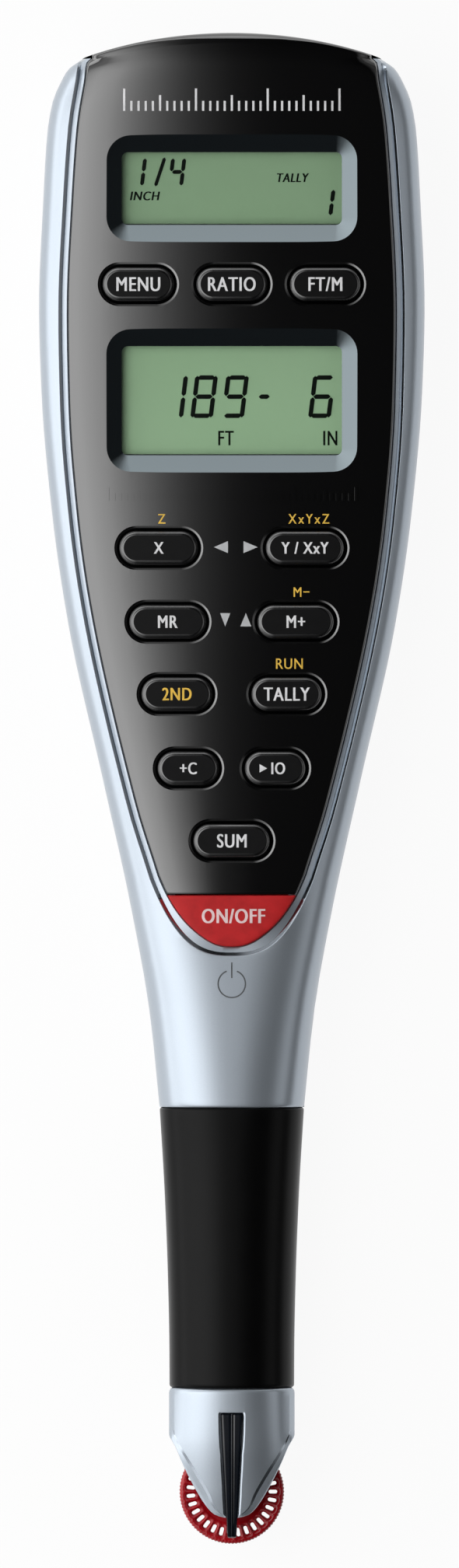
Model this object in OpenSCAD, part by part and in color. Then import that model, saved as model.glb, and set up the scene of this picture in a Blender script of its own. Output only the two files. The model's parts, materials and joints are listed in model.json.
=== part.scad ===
// Hand-held digital plan measure, lying on its back.
// +Z points out of the front face, +Y towards the display end, +X to the right seen from the front.
// The origin is the middle of the bottom of the whole part. All sizes are in millimetres.

/* [Body] */
// Greatest width, across the displays
head_width = 46.7; // [44:0.1:60]
// Thickness of the head, from its flat back to the crown of the faceplate
head_thickness = 15; // [14.6:0.1:18]
// Height of the plane where the two shells meet
split_z = 7.2; // [7:0.1:8]
// Length from the top end to the start of the grip
head_length = 130; // [126:0.5:170]
// Length of the rubber grip
grip_length = 33.95; // [24:0.05:50]
// Width where the neck meets the grip
neck_width = 17.5; // [16.5:0.1:22]
// Width at the lower end of the grip
grip_end_width = 15.1; // [14.6:0.1:19]
// Thickness of the rubber on the grip
sleeve_thickness = 1.3; // [0.8:0.05:1.6]
// Wall of the two shells
wall = 1.6; // [1.2:0.05:2]

/* [Faceplate] */
// Width of the silver rim beside the faceplate, at the widest point
rim_width = 2.45; // [2:0.05:3.5]
// Width of the silver ledge round the faceplate
ledge_width = 1.1; // [0.6:0.05:1.6]
// Depth of that ledge under the rim
ledge_depth = 0.7; // [0.4:0.05:1]
// Thickness of the faceplate at its crown
plate_thickness = 2.7; // [2.4:0.05:3]
// Distance of the recess's round lower tip from the top end
recess_length = 111.6; // [111:0.1:113]
// Gap between the faceplate and the shell round it
plate_gap = 0.1; // [0.05:0.05:0.2]
// Width of the top end that the faceplate covers
end_width = 36.2; // [34:0.1:38]
// Length of the top end that the faceplate turns down over
end_length = 3.1; // [2.5:0.1:4]

/* [Displays] */
// Width of both display openings
view_width = 26.6; // [22:0.1:27]
// Height of the upper display opening
upper_view_height = 8.8; // [7:0.1:9.5]
// Height of the lower display opening
lower_view_height = 13.2; // [10:0.1:13.6]
// Width of the sloping wall round each display opening
well_slope = 2.1; // [1:0.05:2.3]
// Thickness of a clear window
window_thickness = 1; // [0.8:0.05:1.2]
// Thickness of a display glass
lcd_thickness = 1.9; // [1.6:0.05:2]
// Width of a display glass
lcd_width = 31.6; // [29:0.1:31.8]

/* [Keys] */
// Height of a key cap across its short side
key_height = 4.05; // [3.6:0.05:4.4]
// Gap round a key cap in its hole
key_gap = 0.1; // [0.05:0.05:0.2]
// Width of the stepped groove round each key
groove_width = 0.45; // [0.3:0.05:0.6]
// How far a key stands out of the faceplate
key_proud = 0.55; // [0.2:0.05:1]
// How far a key travels when pressed
key_travel = 0.6; // [0.3:0.05:0.7]
// Distance of the red key's straight edge from the top end
red_key_from_top = 104.29; // [103:0.01:106]

/* [Wheel] */
// Diameter of the measuring wheel
wheel_diameter = 12.8; // [10.6:0.1:13]
// Thickness of the wheel's rim
wheel_thickness = 2.2; // [1.6:0.1:2.4]
// Number of windows round the wheel
window_count = 31; // [24:1:36]
// Diameter of the steel axle
axle_diameter = 1.5; // [1.2:0.05:2]
// Running gap round the axle in its seats
axle_gap = 0.04; // [0.02:0.01:0.08]
// Gap on each side of the wheel in its slot
wheel_side_gap = 0.3; // [0.2:0.05:0.5]
// Distance of the axle from the end of the grip
axle_from_grip = 12.65; // [12.4:0.05:14]

/* [Battery] */
// Diameter of a button cell
cell_diameter = 11.6; // [11:0.1:12]
// Height of a button cell
cell_height = 5.4; // [4.8:0.1:5.4]
// Thickness of the sliding battery door
door_thickness = 1.3; // [1:0.05:1.4]
// Gap round the battery door
door_gap = 0.15; // [0.1:0.05:0.25]

/* [Board and socket] */
// Thickness of the circuit board
board_thickness = 1; // [0.8:0.1:1]
// Underside of the circuit board
board_z = 7.9; // [7.8:0.05:8]
// Diameter of the data plug's hole
jack_bore = 2.6; // [2.5:0.05:3]
// Depth of that hole
jack_depth = 9; // [7:0.5:10]

/* [Hidden] */

tiny = 0.01;
big = 60;

// Heights that follow from the sizes above
plate_under_z = head_thickness - plate_thickness;
over_top_z = head_thickness + 3;

// Places along Y, from the top end down
wheel_radius = wheel_diameter / 2;
total_length = head_length + grip_length + axle_from_grip + wheel_radius;
top_y = total_length / 2;
grip_top_y = top_y - head_length;
grip_end_y = grip_top_y - grip_length;
wheel_y = grip_end_y - axle_from_grip;
function below_top(distance) = top_y - distance;

// The head keeps its places down to here, and a longer part only stretches the neck beyond it
neck_start = 90;
typical_head = 130;
typical_grip = 33.95;
neck_stretch = (head_length - neck_start) / (typical_head - neck_start);
function nominal(distance) =
    distance < neck_start ? distance : neck_start + (distance - neck_start) / neck_stretch;
function stretched(distance) =
    distance < neck_start ? distance : neck_start + (distance - neck_start) * neck_stretch;

upper_display_y = below_top(18.85);
lower_display_y = below_top(44.5);
red_key_y = below_top(red_key_from_top);
recess_tip_y = below_top(recess_length);
tip_start = recess_length - 9.3;

// A smooth curve through knots [place, value], which never swings past a knot
function secant(k, i) = (k[i + 1][1] - k[i][1]) / (k[i + 1][0] - k[i][0]);
function knot_slope(k, i) =
    i == 0 ? secant(k, 0)
    : i == len(k) - 1 ? secant(k, len(k) - 2)
    : secant(k, i - 1) * secant(k, i) <= 0 ? 0
    : 2 * secant(k, i - 1) * secant(k, i) / (secant(k, i - 1) + secant(k, i));
function knot_before(k, x) = max([for (i = [0 : len(k) - 2]) if (i == 0 || x >= k[i][0]) i]);
function smooth(k, x) =
    let (i = knot_before(k, x), h = k[i + 1][0] - k[i][0], t = (x - k[i][0]) / h)
    (1 + 2 * t) * pow(1 - t, 2) * k[i][1] + t * pow(1 - t, 2) * h * knot_slope(k, i)
    + pow(t, 2) * (3 - 2 * t) * k[i + 1][1] + pow(t, 2) * (t - 1) * h * knot_slope(k, i + 1);

// How the width falls from the head to the neck: 1 is the widest, 0 is the neck
spread_knots = [[3.1, 0.640], [4.3, 0.755], [5.83, 0.818], [8.2, 0.886], [12, 0.931], [20, 0.964],
    [33, 1], [43.5, 0.979], [58, 0.892], [71.7, 0.754], [90.5, 0.467], [106, 0.234], [118.7, 0.081],
    [130, 0]];
// How the width falls along the grip: 1 is its top, 0 is its end
grip_knots = [[0, 1], [0.3, 0.5], [0.6, 0.17], [0.85, 0.02], [1, 0]];
// Half width of the nose below the grip
nose_knots = [[0, 7.6], [5.55, 7.6], [7.05, 6.85], [9.5, 5.8], [12.5, 4.25], [14.3, 3.1],
    [15.3, 2.1], [15.75, 0.9]];
nose_length = 15.75;

// The corners of the top end ease from the end's own width to the widest place
widest_place = 33;
corner_ease = (head_width - end_width) / (head_width - neck_width) / (1 - spread_knots[0][1]);
function spread(distance) =
    1 - (1 - smooth(spread_knots, distance)) * (distance < widest_place ? corner_ease : 1);
function half_width(y) =
    y > below_top(end_length) ? end_width / 2
    : y >= grip_top_y
        ? (neck_width + (head_width - neck_width) * spread(nominal(top_y - y))) / 2
    : y >= grip_end_y
        ? grip_end_width / 2
          + (neck_width - grip_end_width) / 2 * smooth(grip_knots, (grip_top_y - y) / grip_length)
    : smooth(nose_knots, min(grip_end_y - y, nose_length));

// Height of the front above the split plane, along the length, as a share of the head's
front_knots = [[0, 0.84], [1.2, 0.94], [4, 1], [60, 1], [95, 0.985], [112, 0.95], [130, 0.89],
    [150, 0.845], [164, 0.82], [170, 0.79], [176, 0.68], [180, 0.58]];
// Depth of the back under the split plane, the same way
back_knots = [[0, 0.84], [1.5, 0.95], [4, 1.03], [95, 1.03], [95.8, 1.03], [99, 0.785], [101, 0.78],
    [130, 0.775], [164, 0.75], [170, 0.72], [176, 0.64], [180, 0.56]];
// How square the cross-section is: 2 is an oval, 5 is nearly a box with round edges
square_knots = [[0, 5], [50, 5], [90, 4.4], [108, 3.6], [125, 2.8], [136, 2.5], [164, 2.5],
    [172, 2.7], [180, 2.7]];
function profile(knots, y) =
    smooth(knots, max(0, y >= grip_top_y ? nominal(top_y - y)
        : y >= grip_end_y ? typical_head + (grip_top_y - y) * typical_grip / grip_length
        : typical_head + typical_grip + grip_end_y - y));
front_height = head_thickness - split_z;
function front_rise(y) = front_height * profile(front_knots, y);
function back_drop(y) = split_z * profile(back_knots, y);
function squareness(y) = profile(square_knots, y);

// Height of the front surface above the bottom at a place on it
function surface_z(x, y) =
    split_z + front_rise(y)
    * pow(1 - pow(min(1, abs(x) / half_width(y)), squareness(y)), 1 / squareness(y));

// One half section, from the +X edge over the top to the -X edge; overlap carries it past the split
ring_steps = 18;
function ring(y, inset, is_front, overlap) =
    let (
        w = half_width(y) - inset,
        h = (is_front ? front_rise(y) : back_drop(y)) - inset,
        p = squareness(y),
        side = is_front ? 1 : -1
    )
    concat(
        overlap > 0 ? [[w, y, split_z - side * overlap]] : [],
        [for (i = [0 : ring_steps])
            let (
                a = 180 * i / ring_steps,
                r = pow(pow(abs(cos(a)), p) + pow(abs(sin(a)), p), -1 / p),
                z = split_z + side * h * r * sin(a)
            )
            [w * r * cos(a), y, max(inset, z)]
        ],
        overlap > 0 ? [[-w, y, split_z - side * overlap]] : []
    );

// A solid through rings that run from the display end down, each from +X over the front to -X
module loft(rings) {
    n = len(rings[0]);
    last = len(rings) - 1;
    points = [for (r = rings) for (p = r) p];
    sides = [for (j = [0 : last - 1]) for (i = [0 : n - 1])
        let (a = j * n + i, b = j * n + (i + 1) % n, c = a + n, d = b + n)
        each [[a, c, b], [b, c, d]]
    ];
    start_cap = [for (i = [1 : n - 2]) [0, i, i + 1]];
    end_cap = [for (i = [1 : n - 2]) [last * n, last * n + i + 1, last * n + i]];
    polyhedron(points, concat(sides, start_cap, end_cap));
}

// A half body through the rings at some places; a back half's rings are turned round to match
module half_loft(places, is_front, extra = 0, overlap = 0, sleeved = false) {
    rings = [for (y = places)
        ring(y, sleeved ? extra + cavity_step(y) : extra, is_front, overlap)
    ];
    if (is_front)
        loft(rings);
    else
        loft([for (r = rings) [for (i = [len(r) - 1 : -1 : 0]) r[i]]]);
}

// Places of the rings, as distances from the top end, and their heights in this frame
head_places = [for (d = [-1, 0.6, 1.8, 3.1, 3.7, 4.5, 5.83, 7.5, 10, 14, 20, 27, 34, 42, 50, 57, 64,
    71, 78, 85, 91, 95.5, 97, 98.5, 101, 106, 112, 118, 124, 130]) below_top(stretched(d))];
core_places = [for (s = [0 : 6]) grip_top_y + 1 - s * (grip_length + 2) / 6];
sleeve_places = [for (s = [0 : 10]) grip_top_y - s * grip_length / 10];
nose_places = [for (d = [0, 1, 5.55, 6.1, 7.05, 8.4, 10, 11.3, 12.5, 13.4, 14.3, 14.9, 15.3, 15.6,
    15.75]) grip_end_y - d];
cavity_places = [for (d = [6, 10, 14, 20, 27, 34, 42, 50, 57, 64, 71, 78, 85, 91, 95.5, 98.5, 101,
    106, 112, 118, 124, 128, 131]) below_top(stretched(d))];
cavity_end_places = [for (s = [1 : 5]) grip_top_y - 1 - s * (grip_length + 1) / 5];

// Under the grip the cavity steps in by the thickness of the rubber
function cavity_step(y) =
    (sleeve_thickness + sleeve_gap) * min(1, max(0, (grip_top_y + 5 - y) / 4));
sleeve_gap = 0.1;

// The outline of the top end: an arc that the end is cut to, which stops just short of the corners
arc_drop = end_length - 0.05;
end_radius = (pow(end_width / 2, 2) + pow(arc_drop, 2)) / (2 * arc_drop);
module beyond_top_arc() {
    difference() {
        translate([-big / 2, below_top(end_length) + tiny, -big / 2])
            cube([big, big, big]);
        translate([0, top_y - end_radius, -big])
            cylinder(r = end_radius, h = 2 * big, $fn = 256);
    }
}

// The recess in the front shell, from the top end down to a round tip; the rim beside it narrows
// to nothing at the top corners and widens at the tip
rim_knots = [[3.1, -0.14], [4.3, 0.45], [5.83, 0.76], [8.2, 0.99], [12, 1.05], [20, 1.02], [33, 1],
    [43, 0.94], [52.4, 0.86], [65.6, 0.82], [75.9, 0.85], [84.4, 0.85], [93.8, 0.94], [102.3, 1.25]];
tip_power = 2.72;
function recess_half_width(distance) =
    distance < end_length
        ? end_width / 2 + 0.1
        : half_width(below_top(distance)) - rim_width * smooth(rim_knots, distance);
module recess_outline() {
    side = [for (d = [-2, 2, 6, 12, 20, 28, 36, 44, 52, 60, 68, 76, 84, 90, 96])
        [recess_half_width(d), below_top(d)]];
    tip = [for (s = [1, 0.9, 0.8, 0.68, 0.56, 0.44, 0.32, 0.16])
        [recess_half_width(tip_start) * s,
            recess_tip_y + (recess_length - tip_start) * pow(s, tip_power)]];
    right = concat(side, tip);
    left = [for (i = [len(right) - 1 : -1 : 0]) [-right[i][0], right[i][1]]];
    polygon(concat(right, [[0, recess_tip_y]], left));
}

module plate_outline(grow = 0) {
    offset(delta = grow - ledge_width)
        recess_outline();
}

module prism(low, high) {
    translate([0, 0, low])
        linear_extrude(height = high - low)
            children();
}

// Round-ended outline, such as a key's
function pill_points(length, height) =
    [for (side = [0, 1]) for (i = [0 : 10])
        let (a = -90 + 180 * side + 18 * i, c = (length - height) / 2 * (side == 0 ? 1 : -1))
        [c + height / 2 * cos(a), height / 2 * sin(a)]
    ];
module pill(length, height) {
    polygon(pill_points(length, height));
}

function rounded_points(size, r) =
    [for (q = [0 : 3]) for (i = [0 : 4])
        let (
            a = 90 * q + 22.5 * i,
            cx = (size[0] / 2 - r) * (q == 0 || q == 3 ? 1 : -1),
            cy = (size[1] / 2 - r) * (q < 2 ? 1 : -1)
        )
        [cx + r * cos(a), cy + r * sin(a)]
    ];
module rounded_block(size, r, height) {
    linear_extrude(height = height)
        polygon(rounded_points(size, r));
}

module at(x, y, z = 0) {
    translate([x, y, z])
        children();
}

// Screws that hold the two shells together: four in the head, one in the neck, one in the nose
screw_head_radius = 1.8;
screw_head_height = 1.4;
screw_radius = 1;
screw_length = 8;
boss_radius = 2.5;
neck_screw_y = grip_top_y + 11.5;
nose_screw_y = grip_end_y - 2.6;
// A boss stands a little way into the side wall, which leaves room for the display glass
boss_sink = 0.5;
function boss_x(y) = half_width(y) - wall - boss_radius + boss_sink;
upper_screw_y = below_top(12.5);
lower_screw_y = below_top(59.5);
housing_screw_places = [
    [boss_x(upper_screw_y), upper_screw_y], [-boss_x(upper_screw_y), upper_screw_y],
    [boss_x(lower_screw_y), lower_screw_y], [-boss_x(lower_screw_y), lower_screw_y],
    [0, neck_screw_y], [0, nose_screw_y]
];
screw_head_sink = 0.4;

// Room between a pocket's walls and the piece in it
pocket_gap = 0.2;

function back_surface_z(x, y) =
    max(0, split_z - back_drop(y)
    * pow(1 - pow(min(1, abs(x) / half_width(y)), squareness(y)), 1 / squareness(y)));
function screw_seat_z(p) =
    back_surface_z(abs(p[0]) + screw_head_radius, p[1]) + screw_head_height + screw_head_sink;
module screw_bosses() {
    for (p = housing_screw_places)
        at(p[0], p[1])
            cylinder(r = boss_radius, h = big, $fn = 48);
}

// The flat cable that joins the sensor board to the main board
cable_thickness = 0.25;
cable_half_width = 1.2;
cable_x = 2.8;
cable_z = board_z - cable_thickness;

// Screws that hold the circuit board to the faceplate
board_screw_radius = 0.8;
board_screw_head_radius = 1.5;
board_screw_head_height = 0.9;
board_boss_radius = 1.8;
board_boss_root = 0.4;
board_top_z = board_z + board_thickness;
// The upper ones keep clear of the corners, where the wall turns in under the faceplate
upper_board_screw_x = end_width / 2 - 1.3 - wall;
lower_board_screw_x = 12.5;
board_screw_places = [
    [upper_board_screw_x, below_top(8)], [-upper_board_screw_x, below_top(8)],
    [lower_board_screw_x, below_top(57)], [-lower_board_screw_x, below_top(57)]
];

// Keys: [node name, sideways place, distance from the top end, length of the cap]
key_rows = [
    ["menu_key", -11.29, 30.45, 8.56], ["ratio_key", 0, 30.45, 8.56], ["units_key", 11.29, 30.45, 8.56],
    ["length_key", -8.83, 62.32, 9.46], ["width_key", 8.83, 62.32, 9.46],
    ["recall_key", -7.73, 71.24, 9.26], ["memory_key", 7.73, 71.24, 9.26],
    ["second_key", -6.63, 79.98, 8.51], ["tally_key", 6.63, 79.98, 8.51],
    ["plus_key", -5.25, 88.95, 7.36], ["transfer_key", 5.25, 88.95, 7.36],
    ["sum_key", 0, 97.71, 9.26]
];
key_flange_reach = 0.5;
key_flange_thickness = 0.6;
key_rest_gap = 0.1;
key_bevel = 0.45;
key_stem_radius = 0.9;
stem_clearance = 0.4;
red_pocket_depth = 2;
key_flange_top = plate_under_z - key_rest_gap;
key_flange_low = key_flange_top - key_flange_thickness;
key_stem_low = board_top_z + key_travel + key_rest_gap;
groove_depth = 0.45;
function key_y(k) = below_top(k[2]);
function key_top_z(k) = surface_z(k[1], key_y(k)) + key_proud;

// The wheel's slot and the pieces round it
slot_half = wheel_thickness / 2 + wheel_side_gap;
slot_low = split_z - slot_half;
slot_high = split_z + slot_half;
slot_radius = wheel_radius + 0.5;
axle_seat_depth = 1.6;
axle_radius = axle_diameter / 2;
rim_inner_radius = wheel_radius - 0.7;
window_outer_radius = rim_inner_radius - 0.2;
window_inner_radius = window_outer_radius - 1.05;
window_width = 0.46;
sensor_y = wheel_y + (window_inner_radius + window_outer_radius) / 2;
sensor_board_z = slot_low - 2.3;
sensor_board_thickness = 0.8;
sensor_board_top = sensor_board_z + sensor_board_thickness;
sensor_half_width = 2.6;
sensor_top_y = nose_screw_y - boss_radius - pocket_gap;
sensor_end_y = sensor_y - 1.7;
emitter_leg_y = sensor_top_y - 0.2;
ear_y = sensor_top_y + 0.6;
ear_margin = 0.4;
emitter_low = slot_high + 0.2;
emitter_height = 1.8;

// The pointer: a wedge let into the nose, which overhangs the wheel
pointer_top_y = grip_end_y - 2.95;
pointer_tip_y = grip_end_y - 18.15;
pointer_top_half_width = 1.38;
pointer_tip_half_width = 0.55;
pointer_gap = 0.15;
pointer_depth = 0.9;
pointer_ridge = 0.35;
function pointer_surface(y) = smooth(pointer_line, grip_end_y - y);
pointer_line = [
    [0, surface_z(0, grip_end_y)],
    [2.95, surface_z(0, grip_end_y - 2.95)],
    [10, surface_z(0, grip_end_y - 10)],
    [15.2, surface_z(0, grip_end_y - 15.2)],
    [18.15, surface_z(0, grip_end_y - 15.2) - 1.1]
];
function pointer_half_width(y) =
    pointer_tip_half_width + (pointer_top_half_width - pointer_tip_half_width)
    * (y - pointer_tip_y) / (pointer_top_y - pointer_tip_y);

// The battery compartment, its door and the channel that the door slides in
door_half_width = 7.5;
door_top_y = below_top(71.5);
door_end_y = below_top(98.2);
tongue_reach = 0.8;
tongue_low = 0.5;
tongue_high = 1.1;
cell_radius = cell_diameter / 2;
cell_low = door_thickness + 0.3;
cell_spacing = cell_diameter + 0.5;
cell_places = [below_top(78.4), below_top(78.4) - cell_spacing];
cell_top = cell_low + cell_height;
bay_half_width = cell_radius + 0.35;
bay_top_y = cell_places[0] + bay_half_width;
bay_end_y = cell_places[1] - bay_half_width;
bay_frame_z = door_thickness + door_gap + 0.8;
bay_wall = 1;
bay_frame_half_width = door_half_width + tongue_reach + door_gap + 0.9;

// The data socket on the board's underside, and its hole in the end wall
socket_z = board_z - 3.1;
socket_size = [6, 10.5, 5.6];
socket_collar_radius = 2;
socket_front_y = below_top(6.4);
socket_mouth_y = below_top(1.2);

// Shells

module front_skin(extra = 0, overlap = 0) {
    half_loft(head_places, true, extra, overlap);
}

module shell_outside(is_front) {
    half_loft(head_places, is_front);
    half_loft(core_places, is_front, sleeve_thickness + sleeve_gap);
    half_loft(nose_places, is_front);
}

module shell_cavity(is_front) {
    half_loft(concat(cavity_places, cavity_end_places), is_front, wall, 1, true);
}

module wheel_slot() {
    at(0, wheel_y, slot_low)
        cylinder(r = slot_radius, h = 2 * slot_half, $fn = 96);
    at(0, wheel_y, slot_low - axle_seat_depth)
        cylinder(r = axle_radius + axle_gap, h = 2 * (slot_half + axle_seat_depth), $fn = 48);
}

module recess_cut() {
    difference() {
        prism(split_z + 3, over_top_z)
            recess_outline();
        at(0, 0, -ledge_depth)
            front_skin();
    }
}

module pointer_slot() {
    hull() {
        for (y = [pointer_top_y + pointer_gap, grip_end_y - nose_length + 1, grip_end_y - nose_length - 1])
            at(-pointer_half_width(y) - pointer_gap, y - tiny, pointer_surface(y) - pointer_depth)
                cube([2 * (pointer_half_width(y) + pointer_gap), tiny, 3]);
    }
}

// A ring under the faceplate's edge, which the plate is seated on, down to the red key
seat_ring_thickness = 1.2;
seat_ring_reach = 0.9;
module seat_ring() {
    start_y = below_top(end_length + 1);
    prism(plate_under_z - seat_ring_thickness, plate_under_z)
        difference() {
            intersection() {
                offset(delta = seat_ring_reach)
                    recess_outline();
                at(0, (red_key_y + start_y) / 2)
                    square([big, start_y - red_key_y], center = true);
            }
            plate_outline(-seat_ring_reach);
        }
}

// Way for the cable beside the nose screw, from the hollow grip down to the sensor board's ear
module cable_channel(low, far_y) {
    at(cable_x - cable_half_width - pocket_gap, sensor_top_y - 1 - pocket_gap, low)
        cube([2 * (cable_half_width + pocket_gap) + 0.2, far_y - sensor_top_y + 1 + pocket_gap,
            board_z + pocket_gap - low]);
}

// Front housing, with the rim, the neck and the front of the nose
module front_shell() {
    color("silver") difference() {
        shell_outside(true);
        difference() {
            shell_cavity(true);
            seat_ring();
            screw_bosses();
        }
        recess_cut();
        prism(plate_under_z, over_top_z)
            plate_outline(plate_gap);
        at(-big / 2, below_top(end_length), 0)
            cube([big, big, big]);
        // Pocket for the red key's flange
        prism(plate_under_z - red_pocket_depth, plate_under_z)
            intersection() {
                plate_outline(key_flange_reach + pocket_gap);
                below_red_edge();
            }
        for (p = housing_screw_places)
            at(p[0], p[1], split_z - 1)
                cylinder(r = screw_radius, h = 1 + screw_seat_z(p) + screw_length - split_z, $fn = 32);
        wheel_slot();
        pointer_slot();
        cable_channel(split_z - 1, grip_end_y);
        // Pocket for the infrared emitter and its legs
        at(-sensor_half_width - pocket_gap, sensor_end_y - pocket_gap, split_z - 1)
            cube([2 * (sensor_half_width + pocket_gap), sensor_top_y - sensor_end_y + 2 * pocket_gap,
                emitter_low + emitter_height + pocket_gap - split_z + 1]);
    }
}

module door_channel() {
    reach = 40;
    at(-door_half_width - door_gap, door_end_y - reach, -1)
        cube([2 * (door_half_width + door_gap), door_top_y - door_end_y + door_gap + reach,
            1 + door_thickness + door_gap]);
    at(-door_half_width - tongue_reach - door_gap, door_end_y - reach, tongue_low - door_gap)
        cube([2 * (door_half_width + tongue_reach + door_gap), door_top_y - door_end_y + door_gap + reach,
            tongue_high - tongue_low + 2 * door_gap]);
}

// Rear housing, with the battery bay, the screw seats and the back of the nose
module rear_shell() {
    color("silver") difference() {
        shell_outside(false);
        difference() {
            shell_cavity(false);
            // Thicker floor and walls round the battery bay
            at(-bay_frame_half_width, bay_end_y - bay_wall)
                cube([2 * bay_frame_half_width, bay_top_y - bay_end_y + 2 * bay_wall, bay_frame_z]);
            at(-bay_half_width - bay_wall, bay_end_y - bay_wall)
                cube([2 * (bay_half_width + bay_wall), bay_top_y - bay_end_y + 2 * bay_wall, big]);
            screw_bosses();
        }
        beyond_top_arc();
        at(-bay_half_width, bay_end_y, -1)
            cube([2 * bay_half_width, bay_top_y - bay_end_y, split_z + 2]);
        door_channel();
        for (p = housing_screw_places) {
            at(p[0], p[1], -1)
                cylinder(r = screw_head_radius + 0.1, h = 1 + screw_seat_z(p), $fn = 48);
            at(p[0], p[1], -1)
                cylinder(r = screw_radius + 0.1, h = split_z + 2, $fn = 32);
        }
        wheel_slot();
        // Room for the socket's collar and body
        at(0, below_top(7), socket_z)
            rotate([-90, 0, 0])
                cylinder(r = socket_collar_radius + 0.1, h = 10, $fn = 48);
        at(-socket_size[0] / 2 - pocket_gap, socket_front_y - 1, socket_z - socket_size[2] / 2 - 0.1)
            cube([socket_size[0] + 2 * pocket_gap, 1 + pocket_gap, 10]);
        cable_channel(sensor_board_z - 0.1, ear_y + ear_margin + pocket_gap);
        // Pocket for the sensor board and the light receiver
        at(-sensor_half_width - pocket_gap, sensor_end_y - pocket_gap, sensor_board_z - 0.1)
            cube([2 * (sensor_half_width + pocket_gap), sensor_top_y - sensor_end_y + 2 * pocket_gap,
                split_z]);
    }
}

// Black faceplate, with both display wells and the turned-down top end
view_corner = 0.5;
well_corner = 2.75;
window_reach = 1.1;
window_corner = 1;
window_gap = 0.1;
module display_well(y, view_height) {
    hull() {
        at(0, y, plate_under_z + window_thickness)
            rounded_block([view_width, view_height], view_corner, tiny);
        at(0, y, head_thickness)
            rounded_block([view_width + 2 * well_slope, view_height + 2 * well_slope], well_corner, 0.5);
    }
    at(0, y, plate_under_z - 1)
        rounded_block([view_width, view_height], view_corner, 3);
    at(0, y, plate_under_z - 1)
        window_block(view_height, window_gap, 1 + window_thickness);
}

module window_block(view_height, gap, height) {
    reach = window_reach + gap;
    rounded_block([view_width + 2 * reach, view_height + 2 * reach], window_corner + gap, height);
}

module faceplate() {
    color([0.06, 0.06, 0.07]) difference() {
        union() {
            intersection() {
                front_skin();
                union() {
                    prism(plate_under_z, over_top_z)
                        difference() {
                            plate_outline();
                            at(0, key_gap)
                                below_red_edge();
                        }
                    at(-end_width / 2, below_top(end_length) + tiny, split_z)
                        cube([end_width, end_length + 2, 20]);
                }
            }
            for (p = board_screw_places)
                at(p[0], p[1], board_top_z)
                    cylinder(r = board_boss_radius, h = plate_under_z + board_boss_root - board_top_z,
                        $fn = 48);
        }
        beyond_top_arc();
        display_well(upper_display_y, upper_view_height);
        display_well(lower_display_y, lower_view_height);
        for (k = key_rows)
            at(k[1], key_y(k)) {
                prism(plate_under_z - 1, 20)
                    pill(k[3] + 2 * key_gap, key_height + 2 * key_gap);
                prism(surface_z(k[1], key_y(k)) - groove_depth, 20)
                    pill(k[3] + 2 * groove_width, key_height + 2 * groove_width);
            }
        for (p = board_screw_places)
            at(p[0], p[1], board_top_z - 1)
                cylinder(r = board_screw_radius + 0.05, h = 4, $fn = 32);
    }
}

// Clear windows
module window_pane(y, view_height) {
    color([0.8, 0.9, 0.85, 0.4]) at(0, y, plate_under_z)
        window_block(view_height, 0, window_thickness);
}

module upper_window() {
    window_pane(upper_display_y, upper_view_height);
}

module lower_window() {
    window_pane(lower_display_y, lower_view_height);
}

// Display glasses, and the strips of conducting rubber that join them to the board
lcd_top = plate_under_z - 0.1;
lcd_low = lcd_top - lcd_thickness;
lcd_border = 2.6;
strip_width = 1.8;
strip_from_end = 0.8;
strip_from_side = 0.3;

module lcd_glass(y, view_height) {
    color([0.5, 0.62, 0.5]) at(-lcd_width / 2, y - view_height / 2 - lcd_border, lcd_low)
        cube([lcd_width, view_height + 2 * lcd_border, lcd_thickness]);
}

module lcd_strips(y, view_height) {
    color([0.2, 0.2, 0.22]) for (side = [-1, 1])
        at(-lcd_width / 2 + strip_from_end,
            y + side * (view_height / 2 + lcd_border - strip_width / 2 - strip_from_side) - strip_width / 2,
            board_top_z)
            cube([lcd_width - 2 * strip_from_end, strip_width, lcd_low - board_top_z]);
}

module upper_lcd() {
    lcd_glass(upper_display_y, upper_view_height);
}

module lower_lcd() {
    lcd_glass(lower_display_y, lower_view_height);
}

module upper_lcd_strips() {
    lcd_strips(upper_display_y, upper_view_height);
}

module lower_lcd_strips() {
    lcd_strips(lower_display_y, lower_view_height);
}

// Circuit board and what is soldered to it
board_top_y = below_top(6.2);
board_end_y = below_top(108.5);
board_side_gap = 1.2;
module board_outline() {
    places = [for (d = [0 : 12]) board_top_y - d * (board_top_y - board_end_y) / 12];
    right = [for (y = places) [min(half_width(y), head_width / 2 - 1) - wall - board_side_gap, y]];
    left = [for (i = [len(right) - 1 : -1 : 0]) [-right[i][0], right[i][1]]];
    polygon(concat(right, left));
}

module circuit_board() {
    color([0.1, 0.35, 0.2]) difference() {
        prism(board_z, board_top_z)
            board_outline();
        for (p = housing_screw_places)
            at(p[0], p[1], board_z - 1)
                cylinder(r = boss_radius + 0.4, h = 3, $fn = 48);
        for (p = board_screw_places)
            at(p[0], p[1], board_z - 1)
                cylinder(r = board_screw_radius + 0.1, h = 3, $fn = 32);
    }
}

chip_size = [10, 10, 1.4];
chip_y = below_top(40);
chip_legs = 11;
module controller_chip() {
    color([0.12, 0.12, 0.13]) at(-chip_size[0] / 2, chip_y - chip_size[1] / 2, board_z - chip_size[2])
        cube([chip_size[0], chip_size[1], chip_size[2] - 0.1]);
    color("silver") for (side = [0 : 3]) for (i = [0 : chip_legs - 1])
        at(0, chip_y, board_z - 0.7)
            rotate([0, 0, 90 * side])
                at(chip_size[0] / 2 - 0.1, (i - (chip_legs - 1) / 2) * 0.8 - 0.15)
                    cube([1, 0.3, 0.7]);
}

module timing_crystal() {
    color("silver") at(7.2, below_top(33), board_z - 1.05)
        rotate([-90, 0, 0])
            cylinder(r = 1.05, h = 6, $fn = 32);
}

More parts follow.
